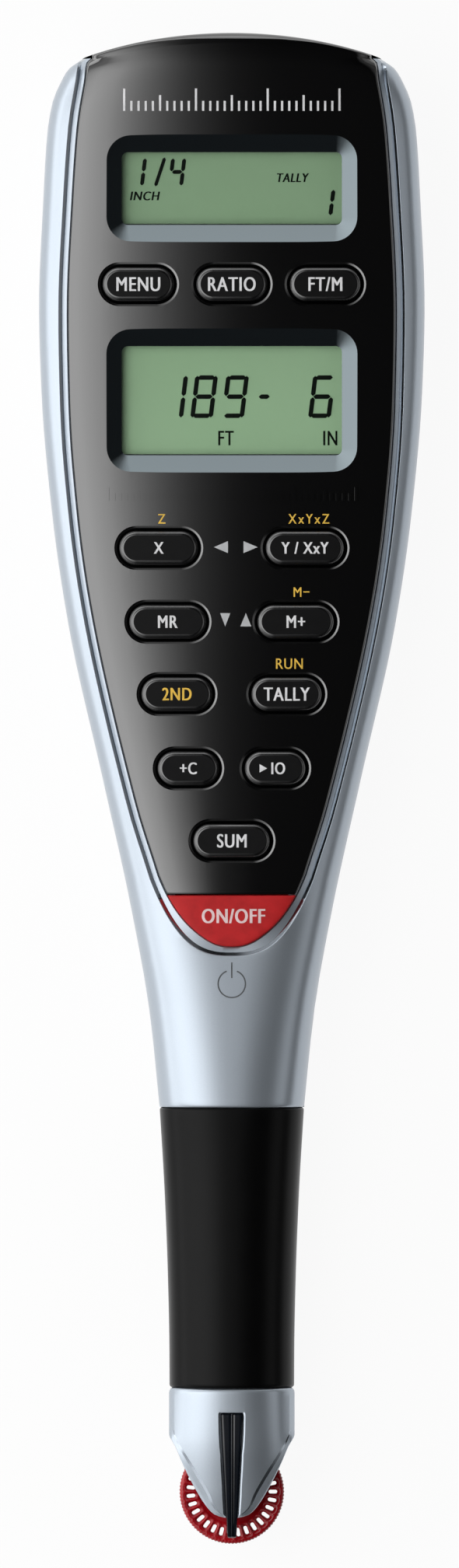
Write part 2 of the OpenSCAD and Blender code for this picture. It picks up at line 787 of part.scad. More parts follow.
module board_parts() {
    places = [[-11, 26], [-11, 29], [-8, 26], [-8, 29], [10, 24.5], [12.5, 24.5], [-12, 42], [-12, 45],
        [-9.5, 48], [9, 45], [9, 48], [12, 46.5], [-4, 51], [-1, 51], [2, 51], [5, 51]];
    color([0.6, 0.5, 0.35]) for (p = places)
        at(p[0] - 0.6, below_top(p[1]) - 1, board_z - 0.8)
            cube([1.2, 2, 0.8]);
}

// Silicone mat under the keys, with a collar round each key's stem
mat_thickness = 0.6;
collar_radius = 2.2;
collar_top = key_flange_low - key_travel - key_rest_gap;
mat_inset = 1.4;
mat_top_y = below_top(27.4);
mat_gap = 0.3;
red_stem_y = red_key_y - 2.6;
mat_end_y = red_stem_y - 2.4;
stem_places = concat([for (k = key_rows) [k[1], key_y(k)]], [[0, red_stem_y]]);
module key_mat() {
    color([0.55, 0.55, 0.57]) difference() {
        union() {
            prism(board_top_z, board_top_z + mat_thickness)
                intersection() {
                    plate_outline(-mat_inset);
                    at(0, (mat_top_y + mat_end_y) / 2)
                        square([big, mat_top_y - mat_end_y], center = true);
                }
            for (p = stem_places)
                at(p[0], p[1], board_top_z)
                    cylinder(r = collar_radius, h = collar_top - board_top_z, $fn = 32);
        }
        for (p = stem_places)
            at(p[0], p[1], board_top_z - 1)
                cylinder(r = key_stem_radius + stem_clearance, h = 5, $fn = 32);
        at(-lcd_width / 2 - mat_gap, lower_display_y - lower_view_height / 2 - lcd_border - mat_gap,
            board_top_z - 1)
            cube([lcd_width + 2 * mat_gap, lower_view_height + 2 * (lcd_border + mat_gap), 5]);
        for (p = board_screw_places)
            at(p[0], p[1], board_top_z - 1)
                cylinder(r = board_boss_radius + mat_gap, h = 5, $fn = 32);
        for (p = housing_screw_places)
            at(p[0], p[1], board_top_z - 1)
                cylinder(r = boss_radius + mat_gap, h = 5, $fn = 48);
    }
}

// A key: its cap, the flange that keeps it under the faceplate, and its stem
module key(k) {
    color([0.1, 0.1, 0.11]) at(k[1], key_y(k)) {
        hull() {
            prism(key_flange_top - tiny, key_top_z(k) - key_bevel)
                pill(k[3], key_height);
            prism(key_top_z(k) - key_bevel, key_top_z(k))
                pill(k[3] - 2 * key_bevel, key_height - 2 * key_bevel);
        }
        prism(key_flange_low, key_flange_top)
            pill(k[3] + 2 * key_flange_reach, key_height + 2 * key_flange_reach);
        at(0, 0, key_stem_low)
            cylinder(r = key_stem_radius, h = key_flange_low - key_stem_low + tiny, $fn = 32);
    }
}

module menu_key() {
    key(key_rows[0]);
}

module ratio_key() {
    key(key_rows[1]);
}

module units_key() {
    key(key_rows[2]);
}

module length_key() {
    key(key_rows[3]);
}

module width_key() {
    key(key_rows[4]);
}

module recall_key() {
    key(key_rows[5]);
}

module memory_key() {
    key(key_rows[6]);
}

module second_key() {
    key(key_rows[7]);
}

module tally_key() {
    key(key_rows[8]);
}

module plus_key() {
    key(key_rows[9]);
}

module transfer_key() {
    key(key_rows[10]);
}

module sum_key() {
    key(key_rows[11]);
}

// The red key fills the lower end of the faceplate
module below_red_edge() {
    at(0, red_key_y - big / 2)
        square([big, big], center = true);
}

module power_key() {
    color([0.72, 0.14, 0.14]) {
        intersection() {
            front_skin();
            prism(key_flange_top - tiny, over_top_z)
                intersection() {
                    plate_outline();
                    below_red_edge();
                }
        }
        prism(key_flange_low, key_flange_top)
            intersection() {
                plate_outline(key_flange_reach);
                below_red_edge();
            }
        at(0, red_stem_y, key_stem_low)
            cylinder(r = key_stem_radius, h = key_flange_low - key_stem_low + tiny, $fn = 32);
    }
}

// Data socket
module data_socket() {
    color([0.15, 0.15, 0.16]) difference() {
        union() {
            at(-socket_size[0] / 2, socket_front_y - socket_size[1], socket_z - socket_size[2] / 2)
                cube([socket_size[0], socket_size[1], board_z - socket_z + socket_size[2] / 2]);
            at(0, socket_front_y - 1, socket_z)
                rotate([-90, 0, 0])
                    cylinder(r = socket_collar_radius, h = socket_mouth_y - socket_front_y + 1, $fn = 48);
        }
        at(0, socket_mouth_y - jack_depth, socket_z)
            rotate([-90, 0, 0])
                cylinder(r = jack_bore / 2, h = jack_depth + 1, $fn = 48);
    }
}

// Power: two button cells in line, and the strips that join them to the board
module button_cells() {
    color("silver") for (y = cell_places) {
        at(0, y, cell_low)
            cylinder(r = cell_radius, h = cell_height - 0.5, $fn = 64);
        at(0, y, cell_top - 0.5)
            cylinder(r = cell_radius - 1.2, h = 0.5, $fn = 64);
    }
}

contact_thickness = 0.2;
contact_width = 4;
module negative_contact() {
    color("gold") {
        at(-contact_width / 2, cell_places[0] - 1, cell_top)
            cube([contact_width, 4.5, contact_thickness]);
        at(-contact_width / 2, cell_places[0] + 3.5 - contact_thickness, cell_top)
            cube([contact_width, contact_thickness, board_z - cell_top]);
    }
}

module cell_link() {
    link_y = cell_places[0] - cell_radius;
    color("gold") {
        at(-contact_width / 2, cell_places[1] - 1, cell_top)
            cube([contact_width, link_y - cell_places[1] + 1, contact_thickness]);
        at(-contact_width / 2, link_y - contact_thickness, cell_low + 1.5)
            cube([contact_width, contact_thickness, cell_top - cell_low - 1.5 + contact_thickness]);
    }
}

module positive_contact() {
    color("gold") {
        at(cell_radius, cell_places[1] - contact_width / 2, cell_low + 1.5)
            cube([contact_thickness, contact_width, board_z - cell_low - 1.5]);
        at(cell_radius, cell_places[1] - contact_width / 2, board_z - contact_thickness)
            cube([3, contact_width, contact_thickness]);
    }
}

// Sliding door in the back, with a ribbed thumb pad
rib_count = 6;
rib_pitch = 1.5;
rib_width = 0.7;
rib_length = 10;
rib_depth = 0.4;
rib_start = 3;
tongue_start = 1.5;
back_end_slope = 37;
module battery_door() {
    length = door_top_y - door_end_y;
    color("silver") difference() {
        union() {
            at(-door_half_width, door_end_y, 0)
                cube([2 * door_half_width, length, door_thickness]);
            at(-door_half_width - tongue_reach, door_end_y + tongue_start, tongue_low)
                cube([2 * (door_half_width + tongue_reach), length - tongue_start, tongue_high - tongue_low]);
        }
        for (i = [0 : rib_count - 1])
            at(-rib_length / 2, door_end_y + rib_start + i * rib_pitch, -1)
                cube([rib_length, rib_width, 1 + rib_depth]);
        // Slope that follows the end of the flat back
        at(-big / 2, door_end_y, -0.9)
            rotate([back_end_slope, 0, 0])
                at(0, -4, 0)
                    cube([big, 4, 2]);
    }
}

// Rubber grip, one closed tube
function full_ring(y, inset) =
    let (front = ring(y, inset, true, 0), back = ring(y, inset, false, 0))
    concat(front, [for (i = [ring_steps - 1 : -1 : 1]) back[i]]);
module grip_sleeve() {
    color([0.08, 0.08, 0.08]) difference() {
        loft([for (y = sleeve_places) full_ring(y, 0)]);
        loft([for (y = core_places) full_ring(y, sleeve_thickness)]);
    }
}

// Pointer with a centre ridge
module pointer() {
    places = [pointer_top_y, (pointer_top_y + pointer_tip_y) / 2, grip_end_y - nose_length + 1, pointer_tip_y];
    rings = [for (y = places)
        let (
            w = pointer_half_width(y),
            top = pointer_surface(y),
            low = max(top - pointer_depth + 0.05, slot_high + 0.3)
        )
        [[w, y, low], [w, y, top], [0.22, y, top + pointer_ridge], [-0.22, y, top + pointer_ridge],
            [-w, y, top], [-w, y, low]]
    ];
    color([0.12, 0.13, 0.15])
        loft(rings);
}

// Measuring wheel with a ring of windows
web_thickness = 1.2;
hub_radius = 2.2;
hub_thickness = 2.5;
module wheel_window() {
    r = window_width / 2;
    at(window_inner_radius + r, -r)
        square([window_outer_radius - window_inner_radius - 2 * r, window_width]);
    for (x = [window_inner_radius + r, window_outer_radius - r])
        at(x, 0)
            circle(r = r, $fn = 24);
}

module measuring_wheel() {
    color([0.75, 0.12, 0.14]) at(0, wheel_y, split_z) difference() {
        union() {
            at(0, 0, -web_thickness / 2)
                cylinder(r = wheel_radius - 0.2, h = web_thickness, $fn = 96);
            difference() {
                at(0, 0, -wheel_thickness / 2)
                    cylinder(r = wheel_radius, h = wheel_thickness, $fn = 96);
                at(0, 0, -wheel_thickness)
                    cylinder(r = rim_inner_radius, h = 2 * wheel_thickness, $fn = 96);
            }
            at(0, 0, -hub_thickness / 2)
                cylinder(r = hub_radius, h = hub_thickness, $fn = 48);
        }
        prism(-2, 2)
            for (i = [0 : window_count - 1])
                rotate([0, 0, 360 * i / window_count])
                    wheel_window();
        at(0, 0, -3)
            cylinder(r = axle_radius, h = 6, $fn = 48);
    }
}

module wheel_axle() {
    reach = slot_half + axle_seat_depth - 0.1;
    color("silver") at(0, wheel_y, split_z - reach)
        cylinder(r = axle_radius, h = 2 * reach, $fn = 48);
}

// Light gate that counts the wheel's windows
module sensor_board() {
    color([0.1, 0.35, 0.2])
        prism(sensor_board_z, sensor_board_top) {
            at(-sensor_half_width, sensor_end_y)
                square([2 * sensor_half_width, sensor_top_y - sensor_end_y]);
            at(cable_x - cable_half_width, sensor_top_y - 1)
                square([2 * cable_half_width + 0.2, ear_y + ear_margin - sensor_top_y + 1]);
        }
}

module infrared_emitter() {
    color([0.35, 0.3, 0.45]) {
        at(-1.6, sensor_y - 1, emitter_low)
            cube([3.2, emitter_leg_y - sensor_y + 1.2, emitter_height]);
        for (x = [-1.2, 0.8])
            at(x, emitter_leg_y - 0.2, sensor_board_top)
                cube([0.4, 0.4, emitter_low - sensor_board_top]);
    }
}

module light_receiver() {
    color([0.12, 0.12, 0.13])
        at(-2, sensor_y - 1, sensor_board_top)
            cube([4, 2, 1.1]);
}

// Flat cable from the main board, through the grip, down to the sensor board's ear
cable_path = [[4.6, board_end_y + 3], [4.6, neck_screw_y - 3], [cable_x, neck_screw_y - 10], [cable_x, ear_y]];
module sensor_cable() {
    w = cable_half_width;
    right = [for (p = cable_path) [p[0] + w, p[1]]];
    left = [for (i = [len(cable_path) - 1 : -1 : 0]) [cable_path[i][0] - w, cable_path[i][1]]];
    color([0.75, 0.5, 0.2]) {
        prism(cable_z, board_z)
            polygon(concat(right, left));
        at(cable_x - w, ear_y, sensor_board_top)
            cube([2 * w, cable_thickness, board_z - sensor_board_top]);
        at(cable_x - w, ear_y - 0.8, sensor_board_top)
            cube([2 * w, 0.8 + cable_thickness, cable_thickness]);
    }
}

// Fasteners
module housing_screws() {
    color("silver") for (p = housing_screw_places)
        at(p[0], p[1], screw_seat_z(p)) {
            difference() {
                at(0, 0, -screw_head_height)
                    cylinder(r = screw_head_radius, h = screw_head_height, $fn = 48);
                for (a = [0, 90])
                    rotate([0, 0, a])
                        at(-1.1, -0.2, -screw_head_height - 1)
                            cube([2.2, 0.4, 1.7]);
            }
            cylinder(r = screw_radius - 0.05, h = screw_length - 0.3, $fn = 32);
        }
}

module board_screws() {
    color("silver") for (p = board_screw_places)
        at(p[0], p[1], board_z) {
            difference() {
                at(0, 0, -board_screw_head_height)
                    cylinder(r = board_screw_head_radius, h = board_screw_head_height, $fn = 48);
                for (a = [0, 90])
                    rotate([0, 0, a])
                        at(-0.9, -0.15, -board_screw_head_height - 1)
                            cube([1.8, 0.3, 1.5]);
            }
            cylinder(r = board_screw_radius, h = 3.6, $fn = 32);
        }
}

front_shell();
rear_shell();
faceplate();
upper_window();
lower_window();
upper_lcd();
lower_lcd();
upper_lcd_strips();
lower_lcd_strips();
circuit_board();
controller_chip();
timing_crystal();
board_parts();
key_mat();
menu_key();
ratio_key();
units_key();
length_key();
width_key();
recall_key();
memory_key();
second_key();
tally_key();
plus_key();
transfer_key();
sum_key();
power_key();
data_socket();
button_cells();
positive_contact();
negative_contact();
cell_link();
battery_door();
grip_sleeve();
pointer();
measuring_wheel();
wheel_axle();
sensor_board();
infrared_emitter();
light_receiver();
sensor_cable();
housing_screws();
board_screws();
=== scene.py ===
# %% [markdown]
# # A digital plan measure
# This instrument is rolled along a drawing on its small red wheel, and shows the length it has
# counted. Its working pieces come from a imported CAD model, which stays exactly where it is. This
# script gives them their looks. The curved skins are rebuilt as fine meshes on the same sections,
# the flat pieces keep their CAD meshes, and every surface gets a finish made of shader nodes.

# %% Load the working model
import json
import math

import bmesh
import bpy
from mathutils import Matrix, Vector


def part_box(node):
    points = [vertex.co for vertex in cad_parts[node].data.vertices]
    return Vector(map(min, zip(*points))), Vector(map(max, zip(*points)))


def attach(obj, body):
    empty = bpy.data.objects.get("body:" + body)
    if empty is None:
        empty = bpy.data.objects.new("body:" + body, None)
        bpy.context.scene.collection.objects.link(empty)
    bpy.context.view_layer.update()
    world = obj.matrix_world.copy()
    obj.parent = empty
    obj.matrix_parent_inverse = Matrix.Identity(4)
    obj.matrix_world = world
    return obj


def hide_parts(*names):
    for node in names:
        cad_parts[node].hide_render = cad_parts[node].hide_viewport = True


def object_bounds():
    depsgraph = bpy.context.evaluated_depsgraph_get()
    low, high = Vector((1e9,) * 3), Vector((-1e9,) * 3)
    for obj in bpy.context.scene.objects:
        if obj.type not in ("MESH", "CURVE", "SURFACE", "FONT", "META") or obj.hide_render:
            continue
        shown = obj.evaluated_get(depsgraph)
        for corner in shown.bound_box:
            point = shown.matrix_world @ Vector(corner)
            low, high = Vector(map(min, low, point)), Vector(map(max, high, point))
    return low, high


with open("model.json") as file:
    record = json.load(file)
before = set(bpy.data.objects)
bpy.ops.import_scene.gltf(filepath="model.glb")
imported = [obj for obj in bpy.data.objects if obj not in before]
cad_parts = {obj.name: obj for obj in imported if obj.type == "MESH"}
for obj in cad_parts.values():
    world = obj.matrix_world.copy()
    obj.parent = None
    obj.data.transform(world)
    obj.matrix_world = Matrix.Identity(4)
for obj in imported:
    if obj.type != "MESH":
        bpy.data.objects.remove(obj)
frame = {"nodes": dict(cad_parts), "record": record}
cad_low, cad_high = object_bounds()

nodes_of_frame = frame["nodes"]

# %% [markdown]
# ## Sizes
# The drawing of this instrument is in millimetres, so every size below is too, and one helper turns
# them into Blender's metres. The main places are read from the CAD nodes' own boxes.

# %% Places read from the model
MM = 0.001


def box_mm(node):
    """The two corners of a CAD node's box, in millimetres."""
    low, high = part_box(node)
    return low / MM, high / MM


body_low, body_high = cad_low / MM, cad_high / MM
grip_low, grip_high = box_mm("grip_sleeve")
wheel_low, wheel_high = box_mm("measuring_wheel")
plate_high = box_mm("faceplate")[1]
red_key_high = box_mm("power_key")[1]

top_y = body_high.y
head_width = body_high.x - body_low.x
neck_width = grip_high.x - grip_low.x
grip_top_y, grip_end_y = grip_high.y, grip_low.y
wheel_y = (wheel_low.y + wheel_high.y) / 2
wheel_radius = (wheel_high.y - wheel_low.y) / 2
split_z = (wheel_low.z + wheel_high.z) / 2
crown_z = plate_high.z
display_middle = 33
print(f"body {head_width:.1f} mm wide, {top_y - body_low.y:.1f} mm long, crown at {crown_z:.1f} mm")


def below_top(distance):
    """The y of a place, from its distance below the display end."""
    return top_y - distance


print(f"the displays are about y {below_top(display_middle):.1f} mm")

# %% [markdown]
# ## The body's sections
# The body is a paddle. Across, each section is a superellipse, the rounded box that a power from 2
# (an oval) to 5 (nearly a box) gives. Along, its width, height and squareness follow a few knots,
# joined by a curve that never swings past a knot. It is the designer's way to draw a soft plastic
# body, and it gives any point of the skin from two numbers: an angle round it and a place along it.

# %% A smooth curve through knots
def secant(knots, i):
    """How steep the straight line from one knot to the next is."""
    return (knots[i + 1][1] - knots[i][1]) / (knots[i + 1][0] - knots[i][0])


def knot_slope(knots, i):
    """The curve's slope at a knot, which is level at a peak."""
    if i == 0:
        return secant(knots, 0)
    if i == len(knots) - 1:
        return secant(knots, i - 1)
    before, after = secant(knots, i - 1), secant(knots, i)
    return 0 if before * after <= 0 else 2 * before * after / (before + after)


def smooth(knots, x):
    """The height of the curve through the knots at x."""
    i = 0
    while i < len(knots) - 2 and x >= knots[i + 1][0]:
        i += 1
    h = knots[i + 1][0] - knots[i][0]
    t = min(1, max(0, (x - knots[i][0]) / h))
    rise = t * t * (3 - 2 * t)
    start = t * (1 - t) ** 2 * h * knot_slope(knots, i)
    end = t * t * (t - 1) * h * knot_slope(knots, i + 1)
    return knots[i][1] * (1 - rise) + knots[i + 1][1] * rise + start + end


print("halfway between a knot at 0 and a knot at 1:", smooth([(0, 0), (1, 1)], 0.5))

# %% [markdown]
# The widths were measured on the photograph. The head's knots are in millimetres below the display
# end, the grip's in shares of its length, and the nose's in millimetres below the grip. The heights
# aren't shown there, so they follow what a hand-held instrument of this size has: a head with a
# gently curved front, and a slimmer neck.

# %% Width, height and squareness along the body
end_half_width = 18.1
end_length = 3.1
grip_end_half_width = 7.55
nose_length = 15.75
spread_knots = [
    (3.1, 0.640), (4.3, 0.755), (5.83, 0.818), (8.2, 0.886), (12, 0.931), (20, 0.964), (33, 1),
    (43.5, 0.979), (58, 0.892), (71.7, 0.754), (90.5, 0.467), (106, 0.234), (118.7, 0.081),
    (130, 0),
]
grip_knots = [(0, 1), (0.3, 0.5), (0.6, 0.17), (0.85, 0.02), (1, 0)]
nose_knots = [(0, 7.6), (5.55, 7.6), (7.05, 6.85), (9.5, 5.8), (12.5, 4.25), (14.3, 3.1),
              (15.3, 2.1), (15.75, 0.9)]
front_knots = [(0, 0.84), (1.2, 0.94), (4, 1), (60, 1), (95, 0.985), (112, 0.95), (130, 0.89),
               (150, 0.845), (164, 0.82), (170, 0.79), (176, 0.68), (180, 0.58)]
back_knots = [
    (0, 0.84), (1.5, 0.95), (4, 1.03), (95, 1.03), (95.8, 1.03), (99, 0.785), (101, 0.78),
    (130, 0.775), (164, 0.75), (170, 0.72), (176, 0.64), (180, 0.56),
]
square_knots = [(0, 5), (50, 5), (90, 4.4), (108, 3.6), (125, 2.8), (136, 2.5), (164, 2.5),
                (172, 2.7), (180, 2.7)]
print("knots from", spread_knots[0][0], "to", square_knots[-1][0], "mm below the display end")

# %% [markdown]
# With the knots, a few small functions answer every question about the skin: how wide and how high
# it is at a place, and where its surface is under a given point of the front.

# %% The skin at any place
def half_width(y):
    """Half the body's width at a place along it."""
    if y > below_top(end_length):
        return end_half_width
    if y >= grip_top_y:
        return (neck_width + (head_width - neck_width) * smooth(spread_knots, top_y - y)) / 2
    if y >= grip_end_y:
        share = smooth(grip_knots, (grip_top_y - y) / (grip_top_y - grip_end_y))
        return grip_end_half_width + (neck_width / 2 - grip_end_half_width) * share
    return smooth(nose_knots, min(grip_end_y - y, nose_length))


def front_rise(y):
    """How far the front stands over the line where the shells meet."""
    return (crown_z - split_z) * smooth(front_knots, max(0, top_y - y))


def back_drop(y):
    """How far the back lies under that line."""
    return split_z * smooth(back_knots, max(0, top_y - y))


def squareness(y):
    """The power of the section, from 2 for an oval to 5 for nearly a box."""
    return smooth(square_knots, max(0, top_y - y))


def skin(angle, y, inset=0, front=True):
    """The point of the body's skin at an angle in degrees, 0 at +X and 90 at the middle."""
    power = squareness(y)
    cos, sin = math.cos(math.radians(angle)), math.sin(math.radians(angle))
    reach = (abs(cos) ** power + abs(sin) ** power) ** (-1 / power)
    x = (half_width(y) - inset) * reach * cos
    if front:
        return (x, y, split_z + (front_rise(y) - inset) * reach * sin)
    return (x, y, max(inset, split_z - (back_drop(y) - inset) * reach * sin))


def surface_z(x, y):
    """Height of the front's skin over a point."""
    power = squareness(y)
    share = min(0.999, abs(x) / half_width(y))
    return split_z + front_rise(y) * (1 - share ** power) ** (1 / power)


display_z = surface_z(0, below_top(display_middle))
print(f"front surface at the middle of the displays: {display_z:.2f} mm")

# %% [markdown]
# ## Making meshes
# Most pieces of this instrument are drawn through sections. A loft joins rings of points one after
# the other and closes both ends, which is how a mould maker thinks of a moulding too. Cylinders and
# boxes are lofts through two rings, and serve as cutters.

# %% Lofts, cylinders and boxes
def loft(rings):
    """Points and faces of a closed solid through rings with equal numbers of points."""
    count = len(rings[0])
    points = [p for ring in rings for p in ring]
    faces = [
        (j * count + i, j * count + (i + 1) % count,
         (j + 1) * count + (i + 1) % count, (j + 1) * count + i)
        for j in range(len(rings) - 1) for i in range(count)
    ]
    last = (len(rings) - 1) * count
    faces.append(tuple(range(count)))
    faces.append(tuple(range(last, last + count)))
    return points, faces


def cylinder_cut(x, y, low, high, radius, steps=64):
    turns = [2 * math.pi / steps * i for i in range(steps)]
    return loft([
        [(x + radius * math.cos(a), y + radius * math.sin(a), z) for a in turns]
        for z in (low, high)
    ])


def box_cut(low, high):
    (x0, y0, z0), (x1, y1, z1) = low, high
    return loft([[(x0, y0, z), (x1, y0, z), (x1, y1, z), (x0, y1, z)] for z in (z0, z1)])


def join_parts(*parts):
    """One list of points and faces from several."""
    points, faces = [], []
    for part_points, part_faces in parts:
        faces += [tuple(i + len(points) for i in face) for face in part_faces]
        points += part_points
    return points, faces


print("a box is a loft with", len(box_cut((0, 0, 0), (1, 1, 1))[1]), "faces")

# %% [markdown]
# Here points in millimetres become a Blender object. Points that fall together are welded and all
# faces are turned outwards, because a boolean cut needs a closed solid that knows its outside. Some
# faces can be marked for a second finish, such as a polished edge.

# %% From points to a solid
weld_distance = 1e-7


def solid(name, points, faces, second=()):
    """A closed mesh object, with its faces turned outwards. Some can take its second finish."""
    mesh = bpy.data.meshes.new(name)
    mesh.from_pydata([Vector(p) * MM for p in points], [], faces)
    for i in second:
        mesh.polygons[i].material_index = 1
    form = bmesh.new()
    form.from_mesh(mesh)
    bmesh.ops.remove_doubles(form, verts=form.verts, dist=weld_distance)
    bmesh.ops.recalc_face_normals(form, faces=form.faces)
    form.to_mesh(mesh)
    form.free()
    piece = bpy.data.objects.new(name, mesh)
    bpy.context.scene.collection.objects.link(piece)
    return piece


print("points closer than", weld_distance, "m are welded")

# %% [markdown]
# Slots and holes in a moulding are left by its tool. Modelling each wall by hand is slow, so a
# cutter is taken away from the piece with the exact boolean solver, which keeps a closed solid
# closed. A cut can still leave slivers, a loose fin or a pinhole, so the piece is cleaned
# afterwards.

# %% Carving
sliver_size = 1e-6


def shape_of(thing):
    """The mesh of an object with its modifiers worked in."""
    worked_out = thing.evaluated_get(bpy.context.evaluated_depsgraph_get())
    return bpy.data.meshes.new_from_object(worked_out)


def clean(mesh):
    """Welds slivers away, deletes loose fins and closes pinholes."""
    form = bmesh.new()
    form.from_mesh(mesh)
    bmesh.ops.remove_doubles(form, verts=form.verts, dist=sliver_size)
    bmesh.ops.dissolve_degenerate(form, dist=sliver_size, edges=form.edges)
    fins = [face for face in form.faces if sum(edge.is_boundary for edge in face.edges) > 1]
    bmesh.ops.delete(form, geom=fins, context="FACES")
    bmesh.ops.holes_fill(form, edges=[edge for edge in form.edges if edge.is_boundary], sides=4)
    form.to_mesh(mesh)
    form.free()


def carve(piece, cutters, finish=None):
    """Cuts each closed cutter out of the piece. The cut faces can have a finish of their own."""
    for points, faces in cutters:
        cutter = solid("cutter", points, faces)
        cut = piece.modifiers.new("cut", "BOOLEAN")
        cut.operation = "DIFFERENCE"
        cut.solver = "EXACT"
        cut.object = cutter
        if finish:
            cutter.data.materials.append(finish)
            cut.material_mode = "TRANSFER"
        shape = shape_of(piece)
        piece.modifiers.clear()
        piece.data = shape
        bpy.data.objects.remove(cutter)
    clean(piece.data)
    return piece


print("slivers under", sliver_size, "m are welded away")

# %% [markdown]
# A moulded skin is smooth up to its real edges. Flat shading would show every face, and smooth
# shading alone would smear the edges, so edges that turn sharply are marked, and the normals are
# weighed by face size. A finished piece then rides on its CAD body, and stands for its CAD node.

# %% Smoothing and mounting
def soften(piece, sharp_angle=38):
    """Smooth shading, apart from edges that turn by more than the angle or part two finishes."""
    piece.data.shade_smooth()
    piece.data.set_sharp_from_angle(angle=math.radians(sharp_angle))
    if len(piece.data.materials) > 1:
        form = bmesh.new()
        form.from_mesh(piece.data)
        for edge in form.edges:
            if len({face.material_index for face in edge.link_faces}) > 1:
                edge.smooth = False
        form.to_mesh(piece.data)
        form.free()
    weigh = piece.modifiers.new("weigh", "WEIGHTED_NORMAL")
    weigh.keep_sharp = True
    return piece


def mount(piece, body, slot_name, finish, stands_for=()):
    """The piece takes its finish, rides on its body, and stands for CAD nodes."""
    if len(piece.data.materials) < 2:
        piece.data.materials.clear()
        piece.data.materials.append(finish)
    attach(piece, body)
    if stands_for:
        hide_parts(*stands_for)
    print(f"{piece.name}: {len(piece.data.polygons)} faces")
    return piece


# %% [markdown]
# ## Finishes
# Every finish is a Principled shader whose colour and roughness wander a little with noise in
# object space, and whose surface has a fine grain through a Bump node. Values that are the same all
# over stay on the shader's own sockets, so that the finish survives an export.

# %% Helpers for finishes
def add_node(tree, kind, operation=None, **inputs):
    """A new node of a tree, with its operation and some of its inputs set by name."""
    node = tree.nodes.new("ShaderNode" + kind)
    if operation:
        node.operation = operation
    for name, value in inputs.items():
        node.inputs[name.replace("_", " ")].default_value = value
    return node


def new_finish(name, colour, roughness, metallic=0.0):
    finish = bpy.data.materials.new(name)
    finish.use_nodes = True
    shader = finish.node_tree.nodes["Principled BSDF"]
    shader.inputs["Base Color"].default_value = (*colour, 1)
    shader.inputs["Roughness"].default_value = roughness
    shader.inputs["Metallic"].default_value = metallic
    return finish, shader


def noise_of(finish, scale, detail):
    """Noise in object space; the scale is in waves per metre."""
    tree = finish.node_tree
    place = add_node(tree, "TexCoord")
    noise = add_node(tree, "TexNoise", Scale=scale, Detail=detail)
    tree.links.new(place.outputs["Object"], noise.inputs["Vector"])
    return noise.outputs["Fac"]


def vary_colour(finish, shader, first, second, scale):
    """The base colour wanders between two tones."""
    tree = finish.node_tree
    wander = noise_of(finish, scale, 3.0)
    tones = add_node(tree, "ValToRGB")
    for end, place, tone in zip(tones.color_ramp.elements, (0.35, 0.65), (first, second)):
        end.position = place
        end.color = (*tone, 1)
    tree.links.new(wander, tones.inputs["Fac"])
    tree.links.new(tones.outputs["Color"], shader.inputs["Base Color"])


def vary_roughness(finish, shader, low, high, scale):
    """Handling leaves some places a little duller than others."""
    tree = finish.node_tree
    wander = noise_of(finish, scale, 4.0)
    span = add_node(tree, "MapRange", To_Min=low, To_Max=high)
    tree.links.new(wander, span.inputs["Value"])
    tree.links.new(span.outputs["Result"], shader.inputs["Roughness"])


def add_grain(finish, shader, scale, strength, depth_mm):
    """A fine moulded grain through the Bump node."""
    tree = finish.node_tree
    grain = noise_of(finish, scale, 2.0)
    bump = add_node(tree, "Bump", Strength=strength, Distance=depth_mm * MM)
    tree.links.new(grain, bump.inputs["Height"])
    tree.links.new(bump.outputs["Normal"], shader.inputs["Normal"])


print("helpers for finishes ready")

# %% [markdown]
# The housing is sprayed with a silver lacquer with a blue cast. Lacquer is flakes under a clear
# coat, so the shader is part metal with a soft highlight, and its grain is finer than the eye sees.

# %% Silver lacquer
def silver_lacquer():
    finish, shader = new_finish("silver_lacquer", (0.44, 0.49, 0.547), 0.34, 0.75)
    vary_colour(finish, shader, (0.43, 0.48, 0.537), (0.45, 0.50, 0.557), 9000)
    vary_roughness(finish, shader, 0.32, 0.37, 120)
    add_grain(finish, shader, 14000, 0.25, 0.006)
    return finish


silver = silver_lacquer()
print(silver.name, "has", len(silver.node_tree.nodes), "nodes")

# %% [markdown]
# The faceplate is black plastic from a polished tool. Nearly all of its look is what it mirrors, so
# it is a very dark colour under a strong, sharp highlight and a thin coat. Its cut edges are kept
# as finishes of their own, because a polished bevel mirrors the room more strongly than the face
# does.

# %% Gloss black and polished edges
def gloss_black():
    finish, shader = new_finish("gloss_black", (0.002, 0.002, 0.0022), 0.1)
    shader.inputs["Specular IOR Level"].default_value = 1.0
    shader.inputs["IOR"].default_value = 1.6
    shader.inputs["Coat Weight"].default_value = 0.6
    shader.inputs["Coat Roughness"].default_value = 0.06
    vary_roughness(finish, shader, 0.055, 0.075, 60)
    return finish


def polished(name, colour, ior, tint, roughness):
    """Edges that are polished like dark glass, and mirror the room more strongly."""
    finish, shader = new_finish(name, colour, roughness)
    shader.inputs["IOR"].default_value = ior
    shader.inputs["Specular IOR Level"].default_value = 1.0
    shader.inputs["Specular Tint"].default_value = (*tint, 1)
    vary_roughness(finish, shader, roughness * 0.75, roughness * 1.25, 90)
    return finish


untinted = (1.0, 1.0, 1.0)
black_gloss = gloss_black()
bevel_black = polished("bevel_black", (0.0012, 0.002, 0.003), 1.8, (0.78, 0.93, 1.0), 0.08)
key_edge = polished("key_edge", (0.003, 0.003, 0.0033), 1.6, untinted, 0.2)
groove_black = polished("groove_black", (0.001, 0.001, 0.0011), 1.75, untinted, 0.14)
print("gloss black and", len((bevel_black, key_edge, groove_black)), "polished edges")

# %% [markdown]
# Keys, rubber, inks and the wheel are moulded or printed. One recipe serves them all: a colour that
# hardly wanders, a grain, and more or less gloss. Metal parts get a second recipe with a fine grain
# from drawing or turning.

